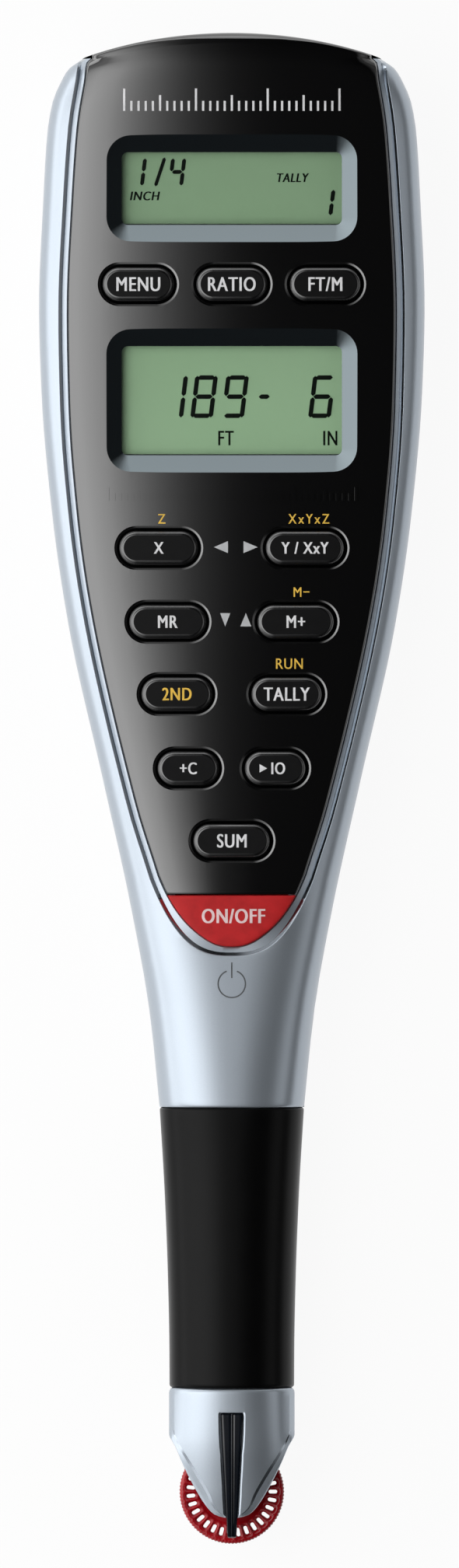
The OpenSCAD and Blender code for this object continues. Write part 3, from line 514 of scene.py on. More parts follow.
# %% Moulded plastics, rubber and plated metal
def moulded(name, colour, roughness, grain=(5000, 0.3, 0.01), gloss=0.5):
    """The grain is its waves per metre, its strength, and its depth in millimetres."""
    finish, shader = new_finish(name, colour, roughness)
    shader.inputs["Specular IOR Level"].default_value = gloss
    darker = tuple(c * 0.9 for c in colour)
    lighter = tuple(min(1, c * 1.1) for c in colour)
    vary_colour(finish, shader, darker, lighter, 700)
    vary_roughness(finish, shader, roughness * 0.9, min(1, roughness * 1.1), 300)
    add_grain(finish, shader, *grain)
    return finish


def plated(name, colour, roughness):
    """Plated metal with a fine grain from drawing or turning."""
    finish, shader = new_finish(name, colour, roughness, 1.0)
    vary_roughness(finish, shader, roughness * 0.8, roughness * 1.25, 2500)
    add_grain(finish, shader, 9000, 0.15, 0.005)
    return finish


silver_edge = plated("silver_edge", (0.38, 0.42, 0.47), 0.12)
key_black = moulded("key_black", (0.003, 0.003, 0.0033), 0.3, (6000, 0.12, 0.006), 0.18)
key_red = moulded("key_red", (0.48, 0.016, 0.018), 0.5, (5000, 0.25, 0.01), 0.2)
mark_ink = moulded("mark_ink", (0.15, 0.16, 0.17), 0.6, (6000, 0.1, 0.005), 0.2)
rubber_black = moulded("rubber_black", (0.001, 0.001, 0.0011), 0.34, (4500, 0.25, 0.008), 0.13)
wheel_red = moulded("wheel_red", (0.37, 0.004, 0.009), 0.16, (3000, 0.12, 0.008), 0.45)
pointer_dark = moulded("pointer_dark", (0.004, 0.006, 0.010), 0.12, (5000, 0.08, 0.005), 0.7)
print(len(bpy.data.materials), "finishes ready")

# %% [markdown]
# ## Camera
# The photograph looks straight down on the front, from far enough away that nothing converges. A
# long lens does the same. The frame is 590 by 2017 pixels, and the instrument fills 1945 of them,
# which gives the scale, and with the lens the distance.

# %% Camera over the instrument
frame_width_px, frame_height_px = 590, 2017
px_per_mm = 10.628
middle_column_px, middle_row_px = 298, 1015.5
sharp_z = 11
camera_data = bpy.data.cameras.new("camera")
camera_data.lens = 450
camera_data.sensor_width = 36
camera_data.clip_start, camera_data.clip_end = 0.05, 30
frame_height = frame_height_px / px_per_mm * MM
camera_distance = frame_height * camera_data.lens / camera_data.sensor_width
camera = bpy.data.objects.new("camera", camera_data)
bpy.context.scene.collection.objects.link(camera)
camera.location = (
    (frame_width_px / 2 - middle_column_px) / px_per_mm * MM,
    (middle_row_px - frame_height_px / 2) / px_per_mm * MM,
    sharp_z * MM + camera_distance,
)
bpy.context.scene.camera = camera
print(f"camera {camera_distance:.3f} m above the instrument")

# %% [markdown]
# ## Front housing
# The silver front is one moulding: a thin rim beside the faceplate, a ledge that the plate sits in,
# the neck, and the nose. A modeller could carve all this from a block, but carving leaves ragged
# highlights on a lacquered skin. So the skin is laid as a grid of columns that start on the edge of
# the recess and run outwards to the line where the shells meet. The columns fan round the recess's
# tip and end on a section of the neck, where rings take over down to the nose.

# %% The edge of the recess
rim_width = 2.45
rim_knots = [
    (3.1, -0.14), (4.3, 0.45), (5.83, 0.76), (8.2, 0.99), (12, 1.05), (20, 1.02), (33, 1),
    (43, 0.94), (52.4, 0.86), (65.6, 0.82), (75.9, 0.85), (84.4, 0.85), (93.8, 0.94), (102.3, 1.25),
]
recess_length = 111.6
tip_start = 102.3
tip_power = 2.72
least_rim = 0.12


def recess_half_width(distance):
    """Half the width of the recess for the faceplate."""
    rim = max(least_rim, rim_width * smooth(rim_knots, distance))
    return half_width(below_top(distance)) - rim


def tip_point(share):
    """The recess's round lower end; the share is 1 on its right side and 0 at its tip."""
    x = recess_half_width(tip_start) * share
    return (x, below_top(recess_length) + (recess_length - tip_start) * abs(share) ** tip_power)


def recess_path(place):
    """A point of the recess's right edge: up to 1 along the side, from 1 to 2 round the tip."""
    if place <= 1:
        distance = end_length + (tip_start - end_length) * place
        return (recess_half_width(distance), below_top(distance))
    return tip_point(2 - place)


def recess_offset(place, offset):
    """The same point, moved outwards by the offset, square to the edge."""
    x, y = recess_path(place)
    step = 0.004
    x0, y0 = recess_path(max(0, place - step))
    x1, y1 = recess_path(min(2, place + step))
    along_x, along_y = x1 - x0, y1 - y0
    if place >= 2:
        along_x, along_y = -1, 0
    along_x *= min(1, place / 0.05)
    length = math.hypot(along_x, along_y)
    return (x - along_y / length * offset, y + along_x / length * offset)


print(f"the recess is {2 * recess_half_width(display_middle):.1f} mm wide at the displays")

# %% [markdown]
# Going outwards, each column climbs from the seat under the faceplate to the ledge beside it, up
# the slanted wall of the recess, over a small round and down the skin. The ledge and the wall catch
# the two fine lines of light that frame the faceplate in the photograph.

# %% Sizes of the ledge and the rim
ledge_width = 1.1
ledge_depth = 0.45
wall_slant = 0.4
side_wall_slope, tip_wall_slope = 0.78, 0.58
lip_run, lip_drop = 0.12, 0.12
tip_ledge_extra = 0.45
plate_gap = 0.04
plate_under_z = 12.3
seat_reach = 2.0
edge_round = 0.12
seam_chamfer = 0.12
neck_section_y = below_top(118)
seam_angle = math.degrees(math.asin(seam_chamfer / (crown_z - split_z)))
side_distances = ([3.1, 3.3, 3.55, 3.85, 4.2, 4.7, 5.3, 6, 7, 8.2, 9.6, 11.3, 13.5, 16, 19]
                  + [22 + 2.36 * i for i in range(34)] + [tip_start])
tip_steps = 32
corner_steps = 12
ring_half = tip_steps - corner_steps
skin_rows = 14
print(len(side_distances), "columns along each side, and", tip_steps, "round half of the tip")

# %% [markdown]
# A column starts on the seat and ends at the seam. The round at the rim's edge is a small curve
# with three handles, and a search by halves finds where it meets the skin, because the skin has no
# formula that could be turned round.

# %% A column of the front skin
def angle_at(x, y):
    """The angle round the section at which the skin has this x."""
    share = min(0.9999, abs(x) / half_width(y)) ** squareness(y)
    if share < 1e-9:
        return 90
    return math.degrees(math.atan(((1 - share) / share) ** (1 / squareness(y))))


def ledge_at(place):
    """The ledge is wider where it rounds the tip's two corners."""
    return ledge_width + tip_ledge_extra * math.sin(math.pi * min(1, max(0, place - 1))) ** 2


def skin_column(place, outer_angle, outer_y):
    """Points from the seat under the faceplate, over the ledge and the rim, to the outer edge."""
    edge_x, edge_y = recess_path(place)
    edge_angle = angle_at(edge_x, edge_y)

    def on_skin(share):
        angle = edge_angle + (outer_angle - edge_angle) * share
        return skin(angle, edge_y + (outer_y - edge_y) * share)

    edge = Vector(on_skin(0))
    far = Vector(on_skin(1))
    radius = min(edge_round, 0.4 * (far - edge).xy.length)
    low_share, high_share = 0, 1
    for _ in range(24):
        middle = (low_share + high_share) / 2
        if (Vector(on_skin(middle)) - edge).xy.length > radius:
            high_share = middle
        else:
            low_share = middle
    start = Vector(on_skin(high_share))
    seat_x, seat_y = recess_offset(place, -seat_reach)
    gap_x, gap_y = recess_offset(place, -ledge_at(place) + plate_gap)
    lip_x, lip_y = recess_offset(place, -ledge_at(place) + plate_gap + lip_run)
    foot_x, foot_y = recess_offset(place, -wall_slant)
    ledge_z = surface_z(lip_x, lip_y) - ledge_depth
    wall_slope = side_wall_slope + (tip_wall_slope - side_wall_slope) * max(0, place - 1)
    wall_z = edge.z - radius - wall_slant * wall_slope
    column = [
        (seat_x, seat_y, plate_under_z), (gap_x, gap_y, plate_under_z),
        (gap_x, gap_y, max(plate_under_z + 0.02, ledge_z - lip_drop)),
        (lip_x, lip_y, max(plate_under_z + 0.04, ledge_z)),
        (foot_x, foot_y, max(plate_under_z + 0.06, wall_z)),
    ]
    below = edge - Vector((0, 0, radius))
    for i in range(6):
        t = i / 5
        column.append(tuple(below * (1 - t) ** 2 + edge * 2 * t * (1 - t) + start * t * t))
    column += [on_skin(high_share + (1 - high_share) * i / skin_rows)
               for i in range(1, skin_rows + 1)]
    return column


print(f"ledge {ledge_at(0)} mm wide along the sides, {ledge_at(1.5):.2f} mm at the tip's corners")

# %% [markdown]
# The right half is enough, because the left one is its mirror image. Along the side a column runs
# straight out. Round the tip, the columns fan out towards the neck's first section.

# %% Columns from the display end to the tip
right_columns = [
    skin_column((d - end_length) / (tip_start - end_length), seam_angle, below_top(d))
    for d in side_distances
]
for k in range(1, tip_steps + 1):
    fall = min(1, k / corner_steps)
    turn = max(0, k - corner_steps) / ring_half
    column_y = below_top(tip_start) + (neck_section_y - below_top(tip_start)) * fall
    column_angle = seam_angle + (90 - seam_angle) * turn
    right_columns.append(skin_column(1 + k / tip_steps, column_angle, column_y))
print(len(right_columns), "columns on the right half, with", len(right_columns[0]), "points each")

# %% [markdown]
# The nose keeps the neck's round front, but a steep step follows its tapering sides, with a lower
# facet outside it. How far the step stands from the middle, how wide it is and how much of the
# facet has come in are curves along the nose, read off the photograph's bright and dark lines.

# %% Sizes of the neck and the nose
core_inset = 1.42
tip_round, tip_round_start = 0.35, 15.3
facet_knots = [(0, 6.95), (5.3, 6.95), (6.2, 6.6), (7.05, 6.15), (10.35, 4.05), (13.05, 2.55),
               (14.25, 2.1), (15.3, 1.1), (15.75, 0.3)]
facet_share_knots = [(0, 0), (4.6, 0), (6.6, 0.9), (8, 1), (13.5, 1), (15.3, 0.4), (15.75, 0)]
step_knots = [(0, 0.1), (5.3, 0.12), (7, 0.32), (10, 0.5), (13, 0.42), (15, 0.2), (15.75, 0.1)]
step_slope = 0.62
facet_slope = 0.42
face_half_width = 7.95
lip_round = 0.6
print(f"the nose is {2 * smooth(nose_knots, 0):.1f} mm wide at the grip")

# %% [markdown]
# All rings have the same number of points, so that a loft can join them. A ring of the nose goes up
# the side, across the facet, up the step and over the front.

# %% Rings of the neck and the nose
def neck_ring(y, inset):
    """An open ring over the neck's front, from the right seam to the left one."""
    right = [skin(seam_angle + (90 - seam_angle) * k / ring_half, y, inset)
             for k in range(ring_half + 1)]
    return right + [(-x, y, z) for x, y, z in right[-2::-1]]


def nose_ring(distance, inset):
    """A ring of the nose, at a distance below the grip, drawn in by an inset."""
    y = grip_end_y - distance
    side = smooth(nose_knots, distance) - inset
    face = min(smooth(facet_knots, distance) - inset, side - 0.1)
    step = min(smooth(step_knots, distance), (side - face) * 0.6)
    power = squareness(y)
    rise = front_rise(y) - inset

    def face_z(x):
        return split_z + rise * (1 - (abs(x) / face_half_width) ** power) ** (1 / power)

    foot = face + step
    facet_share = smooth(facet_share_knots, distance)

    def outer_z(x):
        """Height outside the face: the plain section, or the step and the facet."""
        stepped = face_z(face) - min(step, x - face) * step_slope
        stepped -= max(0, x - foot) * facet_slope
        return (1 - facet_share) * face_z(x) + facet_share * stepped

    low_z = split_z + seam_chamfer
    side_z = outer_z(side)
    right = [(side, low_z + (side_z - 0.2 - low_z) * i / 3) for i in range(4)]
    right.append((side - 0.03 * (side - foot), side_z - 0.07))
    for x in (side - 0.12 * (side - foot), (side + foot) / 2, foot + 0.15 * (side - foot),
              foot - 0.15 * step, face + 0.5 * step, face + 0.15 * step, face):
        right.append((x, outer_z(x)))
    rest = ring_half + 1 - len(right)
    crown_start = right[-1][0]
    across = [crown_start * (1 - i / rest) for i in range(1, rest + 1)]
    right += [(x, face_z(x)) for x in across]
    right = [(x, y, z) for x, z in right]
    return right + [(-x, y, z) for x, y, z in right[-2::-1]]


def lip_inset(distance):
    """A quarter round where the nose meets the grip, and a soft end at the tip."""
    if distance < lip_round:
        return lip_round - math.sqrt(lip_round ** 2 - (lip_round - distance) ** 2)
    return tip_round * max(0, distance - tip_round_start) ** 2 / 0.2


print(len(nose_ring(8, 0)), "points in each ring")

# %% [markdown]
# Now the rings are placed: over the bare neck, drawn in under the rubber, and down the nose, closer
# together where the outline bends. The rings that have the step are noted, because its faces are
# polished.

# %% Rings from the neck to the tip
neck_distances = (119.5, 121, 122.5, 124, 125.5, 127, 128.3, 129.3, 129.7)
neck_end = ((0.12, 0.05), (0.03, 0.16), (0, 0.4))
neck_rings = [neck_ring(below_top(d), 0) for d in neck_distances]
neck_rings += [neck_ring(grip_top_y + up, inset) for up, inset in neck_end]
under_grip = [grip_top_y - 0.01 - (grip_top_y - grip_end_y - 0.02) * i / 6 for i in range(7)]
neck_rings += [neck_ring(y, core_inset) for y in under_grip]
nose_distances = [
    0, 0.05, 0.13, 0.25, 0.4, 0.6, 1, 2, 3.2, 4.4, 5.1, 5.4, 5.7, 6.0, 6.4, 7, 7.8, 8.7, 9.6, 10.5,
    11.4, 12.3, 13, 13.6, 14.1, 14.6, 15, 15.3, 15.5, 15.65, 15.74,
]
neck_rings += [nose_ring(d, lip_inset(d)) for d in nose_distances]
first_nose_ring = len(neck_rings) - len(nose_distances)
step_from, step_to = 5.4, 15.3
stepped_rings = [first_nose_ring + i for i, d in enumerate(nose_distances)
                 if step_from <= d <= step_to]
print(len(neck_rings), "rings from the neck to the tip of the nose")

# %% [markdown]
# The grid, the rings and a few flat faces close into one solid. Laying them by index is dull work,
# but it keeps every face a clean four-sided one, which a lacquered skin needs for calm highlights.

# %% Front housing as one solid
wall_row = 4
step_places = (8, 9, 10)


def front_solid():
    """Points, faces, and which faces of the recess's wall and the nose's steps are polished."""
    columns = right_columns + [[(-x, y, z) for x, y, z in c] for c in right_columns[-2::-1]]
    count, rows = len(columns), len(columns[0])
    points = [p for column in columns for p in column]
    faces = [
        (c * rows + r, (c + 1) * rows + r, (c + 1) * rows + r + 1, c * rows + r + 1)
        for c in range(count - 1) for r in range(rows - 1)
    ]
    polished_faces = [c * (rows - 1) + wall_row for c in range(count - 1)]
    corner = len(side_distances) - 1 + corner_steps
    ring = [c * rows + rows - 1 for c in range(corner, count - corner)]
    right_edge = [c * rows + rows - 1 for c in range(corner + 1)]
    left_edge = [c * rows + rows - 1 for c in range(count - 1, count - corner - 2, -1)]
    for k, next_points in enumerate(neck_rings):
        next_ring = list(range(len(points), len(points) + len(next_points)))
        points += next_points
        if k in stepped_rings:
            polished_faces += [len(faces) + i for i in step_places]
            polished_faces += [len(faces) + len(ring) - 2 - i for i in step_places]
        faces += [(ring[i], ring[i + 1], next_ring[i + 1], next_ring[i])
                  for i in range(len(ring) - 1)]
        ring = next_ring
        right_edge.append(ring[0])
        left_edge.append(ring[-1])

    def seam_row(edge, side):
        """A row of points on the seam, drawn in by its chamfer, and the strip that joins them."""
        row = list(range(len(points), len(points) + len(edge)))
        for i in edge:
            x, y, _ = points[i]
            points.append((x - side * seam_chamfer, y, split_z))
        strip = [(edge[i], edge[i + 1], row[i + 1], row[i]) for i in range(len(edge) - 1)]
        return row, strip

    right_seam, right_strip = seam_row(right_edge, 1)
    left_seam, left_strip = seam_row(left_edge, -1)
    faces += right_strip + left_strip
    faces.append(tuple(right_seam + left_seam[::-1]))
    faces.append(tuple(ring + [left_seam[-1], right_seam[-1]]))
    first = list(range(rows))
    last = [(count - 1) * rows + r for r in range(rows)]
    faces.append(tuple(first + [right_seam[0], left_seam[0]] + last[::-1]))
    faces.append(tuple(c * rows for c in range(count)))
    return points, faces, polished_faces


front_shell = solid("front_housing", *front_solid())
front_shell.data.materials.append(silver)
front_shell.data.materials.append(silver_edge)
print(len(front_shell.data.polygons), "faces before the cuts")

# %% [markdown]
# A moulded shell has a wall of even thickness, since thick plastic sinks as it cools. The hollow
# therefore repeats the skin, drawn in by the wall, and steps in further under the rubber. The wheel
# turns in a slot between the shells, with blind seats for the ends of its axle.

# %% Hollow and wheel slot
def outline_prism(offset, low, high):
    """An upright prism on the recess's outline, moved outwards by an offset."""
    right = [recess_offset(i / 60, offset) for i in range(121)]
    left = [(-x, y) for x, y in right[-2::-1]]
    return loft([[(x, y, z) for x, y in right + left] for z in (low, high)])


wall = 1.6
seat_thickness = 1.2
seat_end = 109
cavity_distances = [6, 8, 12, 18, 26, 34, 42, 50, 58, 66, 74, 82, 90, 96, 102, 106, 109, 112, 115,
                    119, 124, 129.5]


def cavity(front):
    """The hollow inside a shell, which steps in under the rubber of the grip."""
    rings = []
    grip_part = [grip_top_y - 4 - i * (grip_top_y - grip_end_y - 6) / 5 for i in range(6)]
    for y in [below_top(d) for d in cavity_distances] + grip_part:
        inset = wall + (core_inset if y < grip_top_y else 0)
        half_ring = [skin(180 * i / 36, y, inset, front) for i in range(37)]
        if front and y > below_top(seat_end):
            half_ring = [(x, y, min(z, plate_under_z - seat_thickness)) for x, _, z in half_ring]
        outside = split_z - 1 if front else split_z + 1
        rings.append([(half_ring[0][0], y, outside)] + half_ring + [(half_ring[-1][0], y, outside)])
    return loft(rings)


slot_half = 1.4
slot_radius = wheel_radius + 0.5
axle_seat_radius = 0.8
axle_seat_depth = 1.7
wheel_slot = cylinder_cut(0, wheel_y, split_z - slot_half, split_z + slot_half, slot_radius, 96)
axle_seat = cylinder_cut(0, wheel_y, split_z - slot_half - axle_seat_depth,
                         split_z + slot_half + axle_seat_depth, axle_seat_radius, 32)
plate_seat = outline_prism(-seat_reach, split_z - 2, plate_under_z + 0.3)
carve(front_shell, [plate_seat, cavity(True), wheel_slot, axle_seat], silver)
print(f"wheel slot {2 * slot_half:.1f} mm high, wall {wall} mm")

# %% [markdown]
# The pointer lies in a shallow bed in the nose. The bed is a tapered trough with slanted upper
# edges, polished like the recess's wall, so that it draws a dark line and a bright line beside the
# pointer.

# %% Bed of the pointer
pointer_low, pointer_high = box_mm("pointer")
pointer_top_y, pointer_tip_y = pointer_high.y, pointer_low.y
pointer_top_half, pointer_tip_half = pointer_high.x, 0.55
pointer_clearance = 0.06
bed_bevel = 0.3
bed_depth = 0.95
dip_from_y = grip_end_y - 15.2


def pointer_half(y):
    """Half the pointer's width, which tapers evenly to its tip."""
    share = (y - pointer_tip_y) / (pointer_top_y - pointer_tip_y)
    return pointer_tip_half + (pointer_top_half - pointer_tip_half) * share


def pointer_bed():
    """The tapered recess that the pointer lies in, with rounded upper corners."""
    rings = []
    for y, narrow in ((pointer_top_y + pointer_clearance, 0.35), (pointer_top_y + 0.09, 0.12),
                      (pointer_top_y - 0.12, 0), (grip_end_y - 8, 0), (grip_end_y - 12, 0),
                      (dip_from_y, 0), (grip_end_y - 17, 0)):
        half = pointer_half(y) + pointer_clearance - narrow
        level = surface_z(0, max(y, dip_from_y))
        right = [(half, level - bed_depth), (half, level - bed_bevel * 0.64),
                 (half + bed_bevel, level + 0.02), (half + bed_bevel, 16)]
        rings.append([(x, y, z) for x, z in right] + [(-x, y, z) for x, z in right[::-1]])
    return loft(rings)


carve(front_shell, [pointer_bed()], silver_edge)
print(f"bed {pointer_top_y - pointer_tip_y:.1f} mm long")

# %% [markdown]
# The power mark is a hairline engraved in the neck: a ring with a gap at its top, and a short
# stroke in the gap. A hairline is cut with a thin band that follows the surface.

# %% Power mark engraved in the neck
mark_y, mark_radius = -23.5, 1.65
mark_width, mark_depth = 0.17, 0.09
mark_gap = 22


def band_cutter(path):
    """A thin upright band along a path, which reaches a little way under the surface."""
    rings = []
    for i, (x, y) in enumerate(path):
        x0, y0 = path[max(0, i - 1)]
        x1, y1 = path[min(len(path) - 1, i + 1)]
        side = Vector((y0 - y1, x1 - x0)).normalized() * mark_width / 2
        low = surface_z(x, y) - mark_depth
        rings.append([(x + side.x, y + side.y, low), (x + side.x, y + side.y, low + 0.5),
                      (x - side.x, y - side.y, low + 0.5), (x - side.x, y - side.y, low)])
    return loft(rings)


ring_angles = [math.radians(90 + mark_gap + (360 - 2 * mark_gap) * i / 48) for i in range(49)]
mark_ring = [(mark_radius * math.cos(a), mark_y + mark_radius * math.sin(a)) for a in ring_angles]
mark_stroke = [(0, mark_y + up) for up in (2.6, 1.6, 0.7)]
carve(front_shell, [band_cutter(mark_ring), band_cutter(mark_stroke)], mark_ink)
mount(soften(front_shell), "housing", "silver_housing", silver, ["front_shell"])

# %% [markdown]
# ## Rear housing
# The rear shell is a plain tray with a flat back. Its display end is cut to an arc, so its first
# rows are bent to the arc, and straighten within a few millimetres.

# %% Rows that bend to the arc of the display end
arc_drop = end_length - 0.05
arc_radius = (end_half_width ** 2 + arc_drop ** 2) / (2 * arc_drop)
straight_from = 6


def arc_fall(x):
    """How far the arc of the display end falls back at a place across."""
    return arc_radius - math.sqrt(arc_radius ** 2 - x ** 2)


def row_y(x, distance):
    """The y of a row's point: rows near the display end are bent to its arc."""
    return below_top(distance) - arc_fall(x) * max(0, 1 - distance / straight_from)


def rear_row(distance, inset=0):
    """A row of points across the back, from seam to seam."""
    corner = distance + arc_drop * max(0, 1 - distance / straight_from)
    width = end_half_width if distance == 0 else half_width(below_top(max(corner, end_length)))
    width -= inset
    power = squareness(below_top(distance))
    row = []
    for i in range(49):
        angle = math.radians(seam_angle + (180 - 2 * seam_angle) * i / 48)
        cos, sin = math.cos(angle), math.sin(angle)
        reach = (abs(cos) ** power + abs(sin) ** power) ** (-1 / power)
        x = width * reach * cos
        y = row_y(x, distance)
        row.append((x, y, max(inset, split_z - (back_drop(y) - inset) * reach * sin)))
    seam = (row[0][0] - seam_chamfer, row[0][1], split_z)
    return [seam] + row + [(-seam[0], seam[1], split_z)]


head_distances = [
    0, 0.3, 0.8, 1.5, 2.3, 3.1, 4, 5, 6, 7.5, 10, 14, 20, 27, 34, 42, 50, 57, 64, 71, 78, 85, 90,
    94, 95, 95.8, 96.4, 97.2, 98, 98.6, 99.3, 100, 101, 103, 106, 110, 114, 118, 122, 126, 129,
    129.8, 130,
]
rear_rows = [rear_row(d) for d in head_distances]
rear_rows.insert(0, [(x, y, split_z) for x, y, _ in rear_rows[0]])
rear_rows += [rear_row(top_y - y, core_inset) for y in under_grip]
rear_rows += [rear_row(top_y - grip_end_y + d, lip_inset(d)) for d in nose_distances]
print(len(rear_rows), "rows from the display end to the tip")

# %% [markdown]
# The back is where such an instrument is opened, and where its screws are hidden. The channel and
# the rails of the battery door, the bay of the two cells, the screw holes and the socket's hole are
# cut with boxes and cylinders, which are what a toolmaker's cutters would leave too.

# %% Channels and holes in the flat back
door_low, door_high = box_mm("battery_door")
door_gap, door_room = 0.15, 15
door_half, tongue_half = 7.5 + door_gap, door_high.x + door_gap
channel_top_z, rail_low_z, rail_top_z = 1.45, 0.35, 1.25
bay_half, cell_distance, cell_spacing = 6.15, 78.4, 12.1
bay_low_y = below_top(cell_distance) - cell_spacing - bay_half
bay_high_y = below_top(cell_distance) + bay_half
screw_places = [(18.79, 79), (-18.79, 79), (18.0, 32), (-18.0, 32), (0, -27), (0, -75.05)]
screw_hole_radius, screw_hole_depth, nose_hole_depth = 1.9, 3.2, 4.0
socket_z = box_mm("data_socket")[0].z + 2.8
tunnel_length, tunnel_radius = 9, 2.1

upright = cylinder_cut(0, 0, 0, tunnel_length, tunnel_radius, 48)
tunnel = ([(x, below_top(7) + z, socket_z + y) for x, y, z in upright[0]], upright[1])
channel_y, channel_end_y = door_low.y - door_room, door_high.y + door_gap
rear_cutters = [
    cavity(False), wheel_slot, axle_seat, tunnel,
    box_cut((-door_half, channel_y, -1), (door_half, channel_end_y, channel_top_z)),
    box_cut((-tongue_half, channel_y, rail_low_z), (tongue_half, channel_end_y, rail_top_z)),
    box_cut((-bay_half, bay_low_y, -0.5), (bay_half, bay_high_y, split_z + 1)),
]
for x, y in screw_places:
    depth = nose_hole_depth if y < grip_top_y else screw_hole_depth
    rear_cutters.append(cylinder_cut(x, y, -1, depth, screw_hole_radius, 48))
rear_shell = carve(solid("rear_housing", *loft(rear_rows)), rear_cutters)
mount(soften(rear_shell), "housing", "silver_housing", silver, ["rear_shell"])

# %% [markdown]
# ## Faceplate
# The faceplate is a thick black moulding with a gloss like a piano's. Its top follows the body's
# own surface, so its reflections run on from the rim. It is lofted in rows across, with a small
# round on every edge, and the display wells and the grooves round the keys are carved afterwards.

# %% Rows of the faceplate
plate_round = 0.25
plate_side = [recess_offset(i / 500, -ledge_at(i / 500)) for i in range(1001)]
plate_end_y = red_key_high.y + 0.1


def plate_half(distance):
    """Half the faceplate's width, read off its outline."""
    y = below_top(distance)
    for (x0, y0), (x1, y1) in zip(plate_side, plate_side[1:]):
        if y0 >= y >= y1:
            return x0 + (x1 - x0) * (y0 - y) / max(1e-9, y0 - y1)
    return plate_side[0][0]


def plate_row(distance, low_z, fall):
    """A closed row across the faceplate; the fall rounds the plate's two ends."""
    if distance == 0:
        half = end_half_width - 0.03
    else:
        half = plate_half(distance)
        for _ in range(3):
            half = plate_half(distance + arc_fall(half) * max(0, 1 - distance / straight_from))
    right = [(half, None)]
    for i in range(5):
        turn = math.pi / 2 * i / 4
        right.append((half - plate_round * (1 - math.cos(turn)),
                      plate_round * (1 - math.sin(turn))))
    right += [((half - plate_round) * math.sin(math.pi / 2 * (1 - i / 22)), 0)
              for i in range(1, 23)]
    row = []
    for x, down in right:
        y = row_y(x, distance)
        z = low_z if down is None else max(low_z + 0.05, surface_z(x, y) - down - fall)
        row.append((x, y, z))
    return row + [(-x, y, z) for x, y, z in row[-2::-1]]


end_falls = [(0, 0.5), (0.04, 0.3), (0.12, 0.17), (0.24, 0.07), (0.38, 0.015), (0.5, 0)]
low_end_falls = [(0.3, 0), (0.15, 0.015), (0.06, 0.08), (0, 0.25)]
turned_down, turned_down_end = (0.8, 1.25), 1.26
plate_length = top_y - plate_end_y
plate_rows = [plate_row(s, split_z, fall) for s, fall in end_falls]
plate_rows.insert(0, [(x, y, split_z) for x, y, _ in plate_rows[0]])
plate_rows += [plate_row(s, split_z, 0) for s in turned_down]
plate_rows += [plate_row(s, plate_under_z, 0)
               for s in (turned_down_end, 1.8, 2.5, 3.2, 4, 5, 6, 7.5)]
plate_rows += [plate_row(9 + (plate_length - 9.6) * i / 56, plate_under_z, 0) for i in range(57)]
plate_rows += [plate_row(plate_length - up, plate_under_z, fall) for up, fall in low_end_falls]
print(f"faceplate {plate_length:.1f} mm long in {len(plate_rows)} rows")

# %% [markdown]
# Outlines with round ends are used for keys, grooves and display wells. They are plain lists of
# points that run anticlockwise, so that an offset always knows which side is inside.

# %% Outlines
def pill(x, y, length, height, grow=0, steps=20):
    """Two half circles, which may be grown outwards."""
    radius = height / 2 + grow
    centre = (length - height) / 2
    loop = []
    for side in (1, -1):
        for i in range(steps + 1):
            a = -math.pi / 2 + math.pi * i / steps + (0 if side == 1 else math.pi)
            loop.append((x + side * centre + radius * math.cos(a), y + radius * math.sin(a)))
    return loop


def rounded(x, y, width, height, radius, steps=10):
    """A box outline with round corners."""
    loop = []
    for quarter in range(4):
        for i in range(steps + 1):
            a = math.pi / 2 * (quarter + i / steps)
            across = (width / 2 - radius) * (1 if quarter in (0, 3) else -1)
            along = (height / 2 - radius) * (1 if quarter < 2 else -1)
            loop.append((x + across + radius * math.cos(a), y + along + radius * math.sin(a)))
    return loop


def draw_in(loop, distance):
    """The outline drawn in by a distance."""
    moved = []
    for i, (x, y) in enumerate(loop):
        x0, y0 = loop[i - 1]
        x1, y1 = loop[(i + 1) % len(loop)]
        before = Vector((y0 - y, x - x0)).normalized()
        after = Vector((y - y1, x1 - x)).normalized()
        lean = before + after
        lean = lean / max(0.6, lean.dot(before))
        moved.append((x + lean.x * distance, y + lean.y * distance))
    return moved


def at_height(loop, z):
    return [(x, y, z) for x, y in loop]


def flat_prism(loop, low, high):
    return loft([at_height(loop, z) for z in (low, high)])


def over_surface(loop, rise):
    """The outline laid over the body's front."""
    return [(x, y, surface_z(x, y) + rise) for x, y in loop]


print("a pill has", len(pill(0, 0, 8, 4)), "points, a rounded box", len(rounded(0, 0, 8, 4, 1)))

# %% [markdown]
# The two displays lie at the bottom of wells with slanted, polished walls. Each well is one loft:
# the view's small outline at the window, and a larger and rounder one at the faceplate's front. A
# second, shallow cutter makes room for the window itself.

# %% Display wells
view_width = 26.6
window_top_z = box_mm("upper_window")[1].z
well_slope = 2.1
well_corner, view_corner = 3.1, 0.75
pane_grow, pane_corner = 2.4, 1.1
displays = {"upper": (below_top(18.85), 8.8), "lower": (below_top(44.5), 13.2)}


def well_cutters(y, view_height):
    """The slanted well of one display, and the place of its window."""
    view = rounded(0, y, view_width, view_height, view_corner)
    rings = [at_height(view, z) for z in (plate_under_z - 1, window_top_z + 0.02)]
    for share, z in ((0.5, (window_top_z + crown_z) / 2), (1.0, crown_z), (1.0, crown_z + 1)):
        grow = 2 * well_slope * share
        corner = view_corner + (well_corner - view_corner) * share
        rings.append(at_height(rounded(0, y, view_width + grow, view_height + grow, corner), z))
    pane = rounded(0, y, view_width + pane_grow, view_height + pane_grow, pane_corner)
    return [loft(rings), flat_prism(pane, plate_under_z - 1, window_top_z + 0.01)]


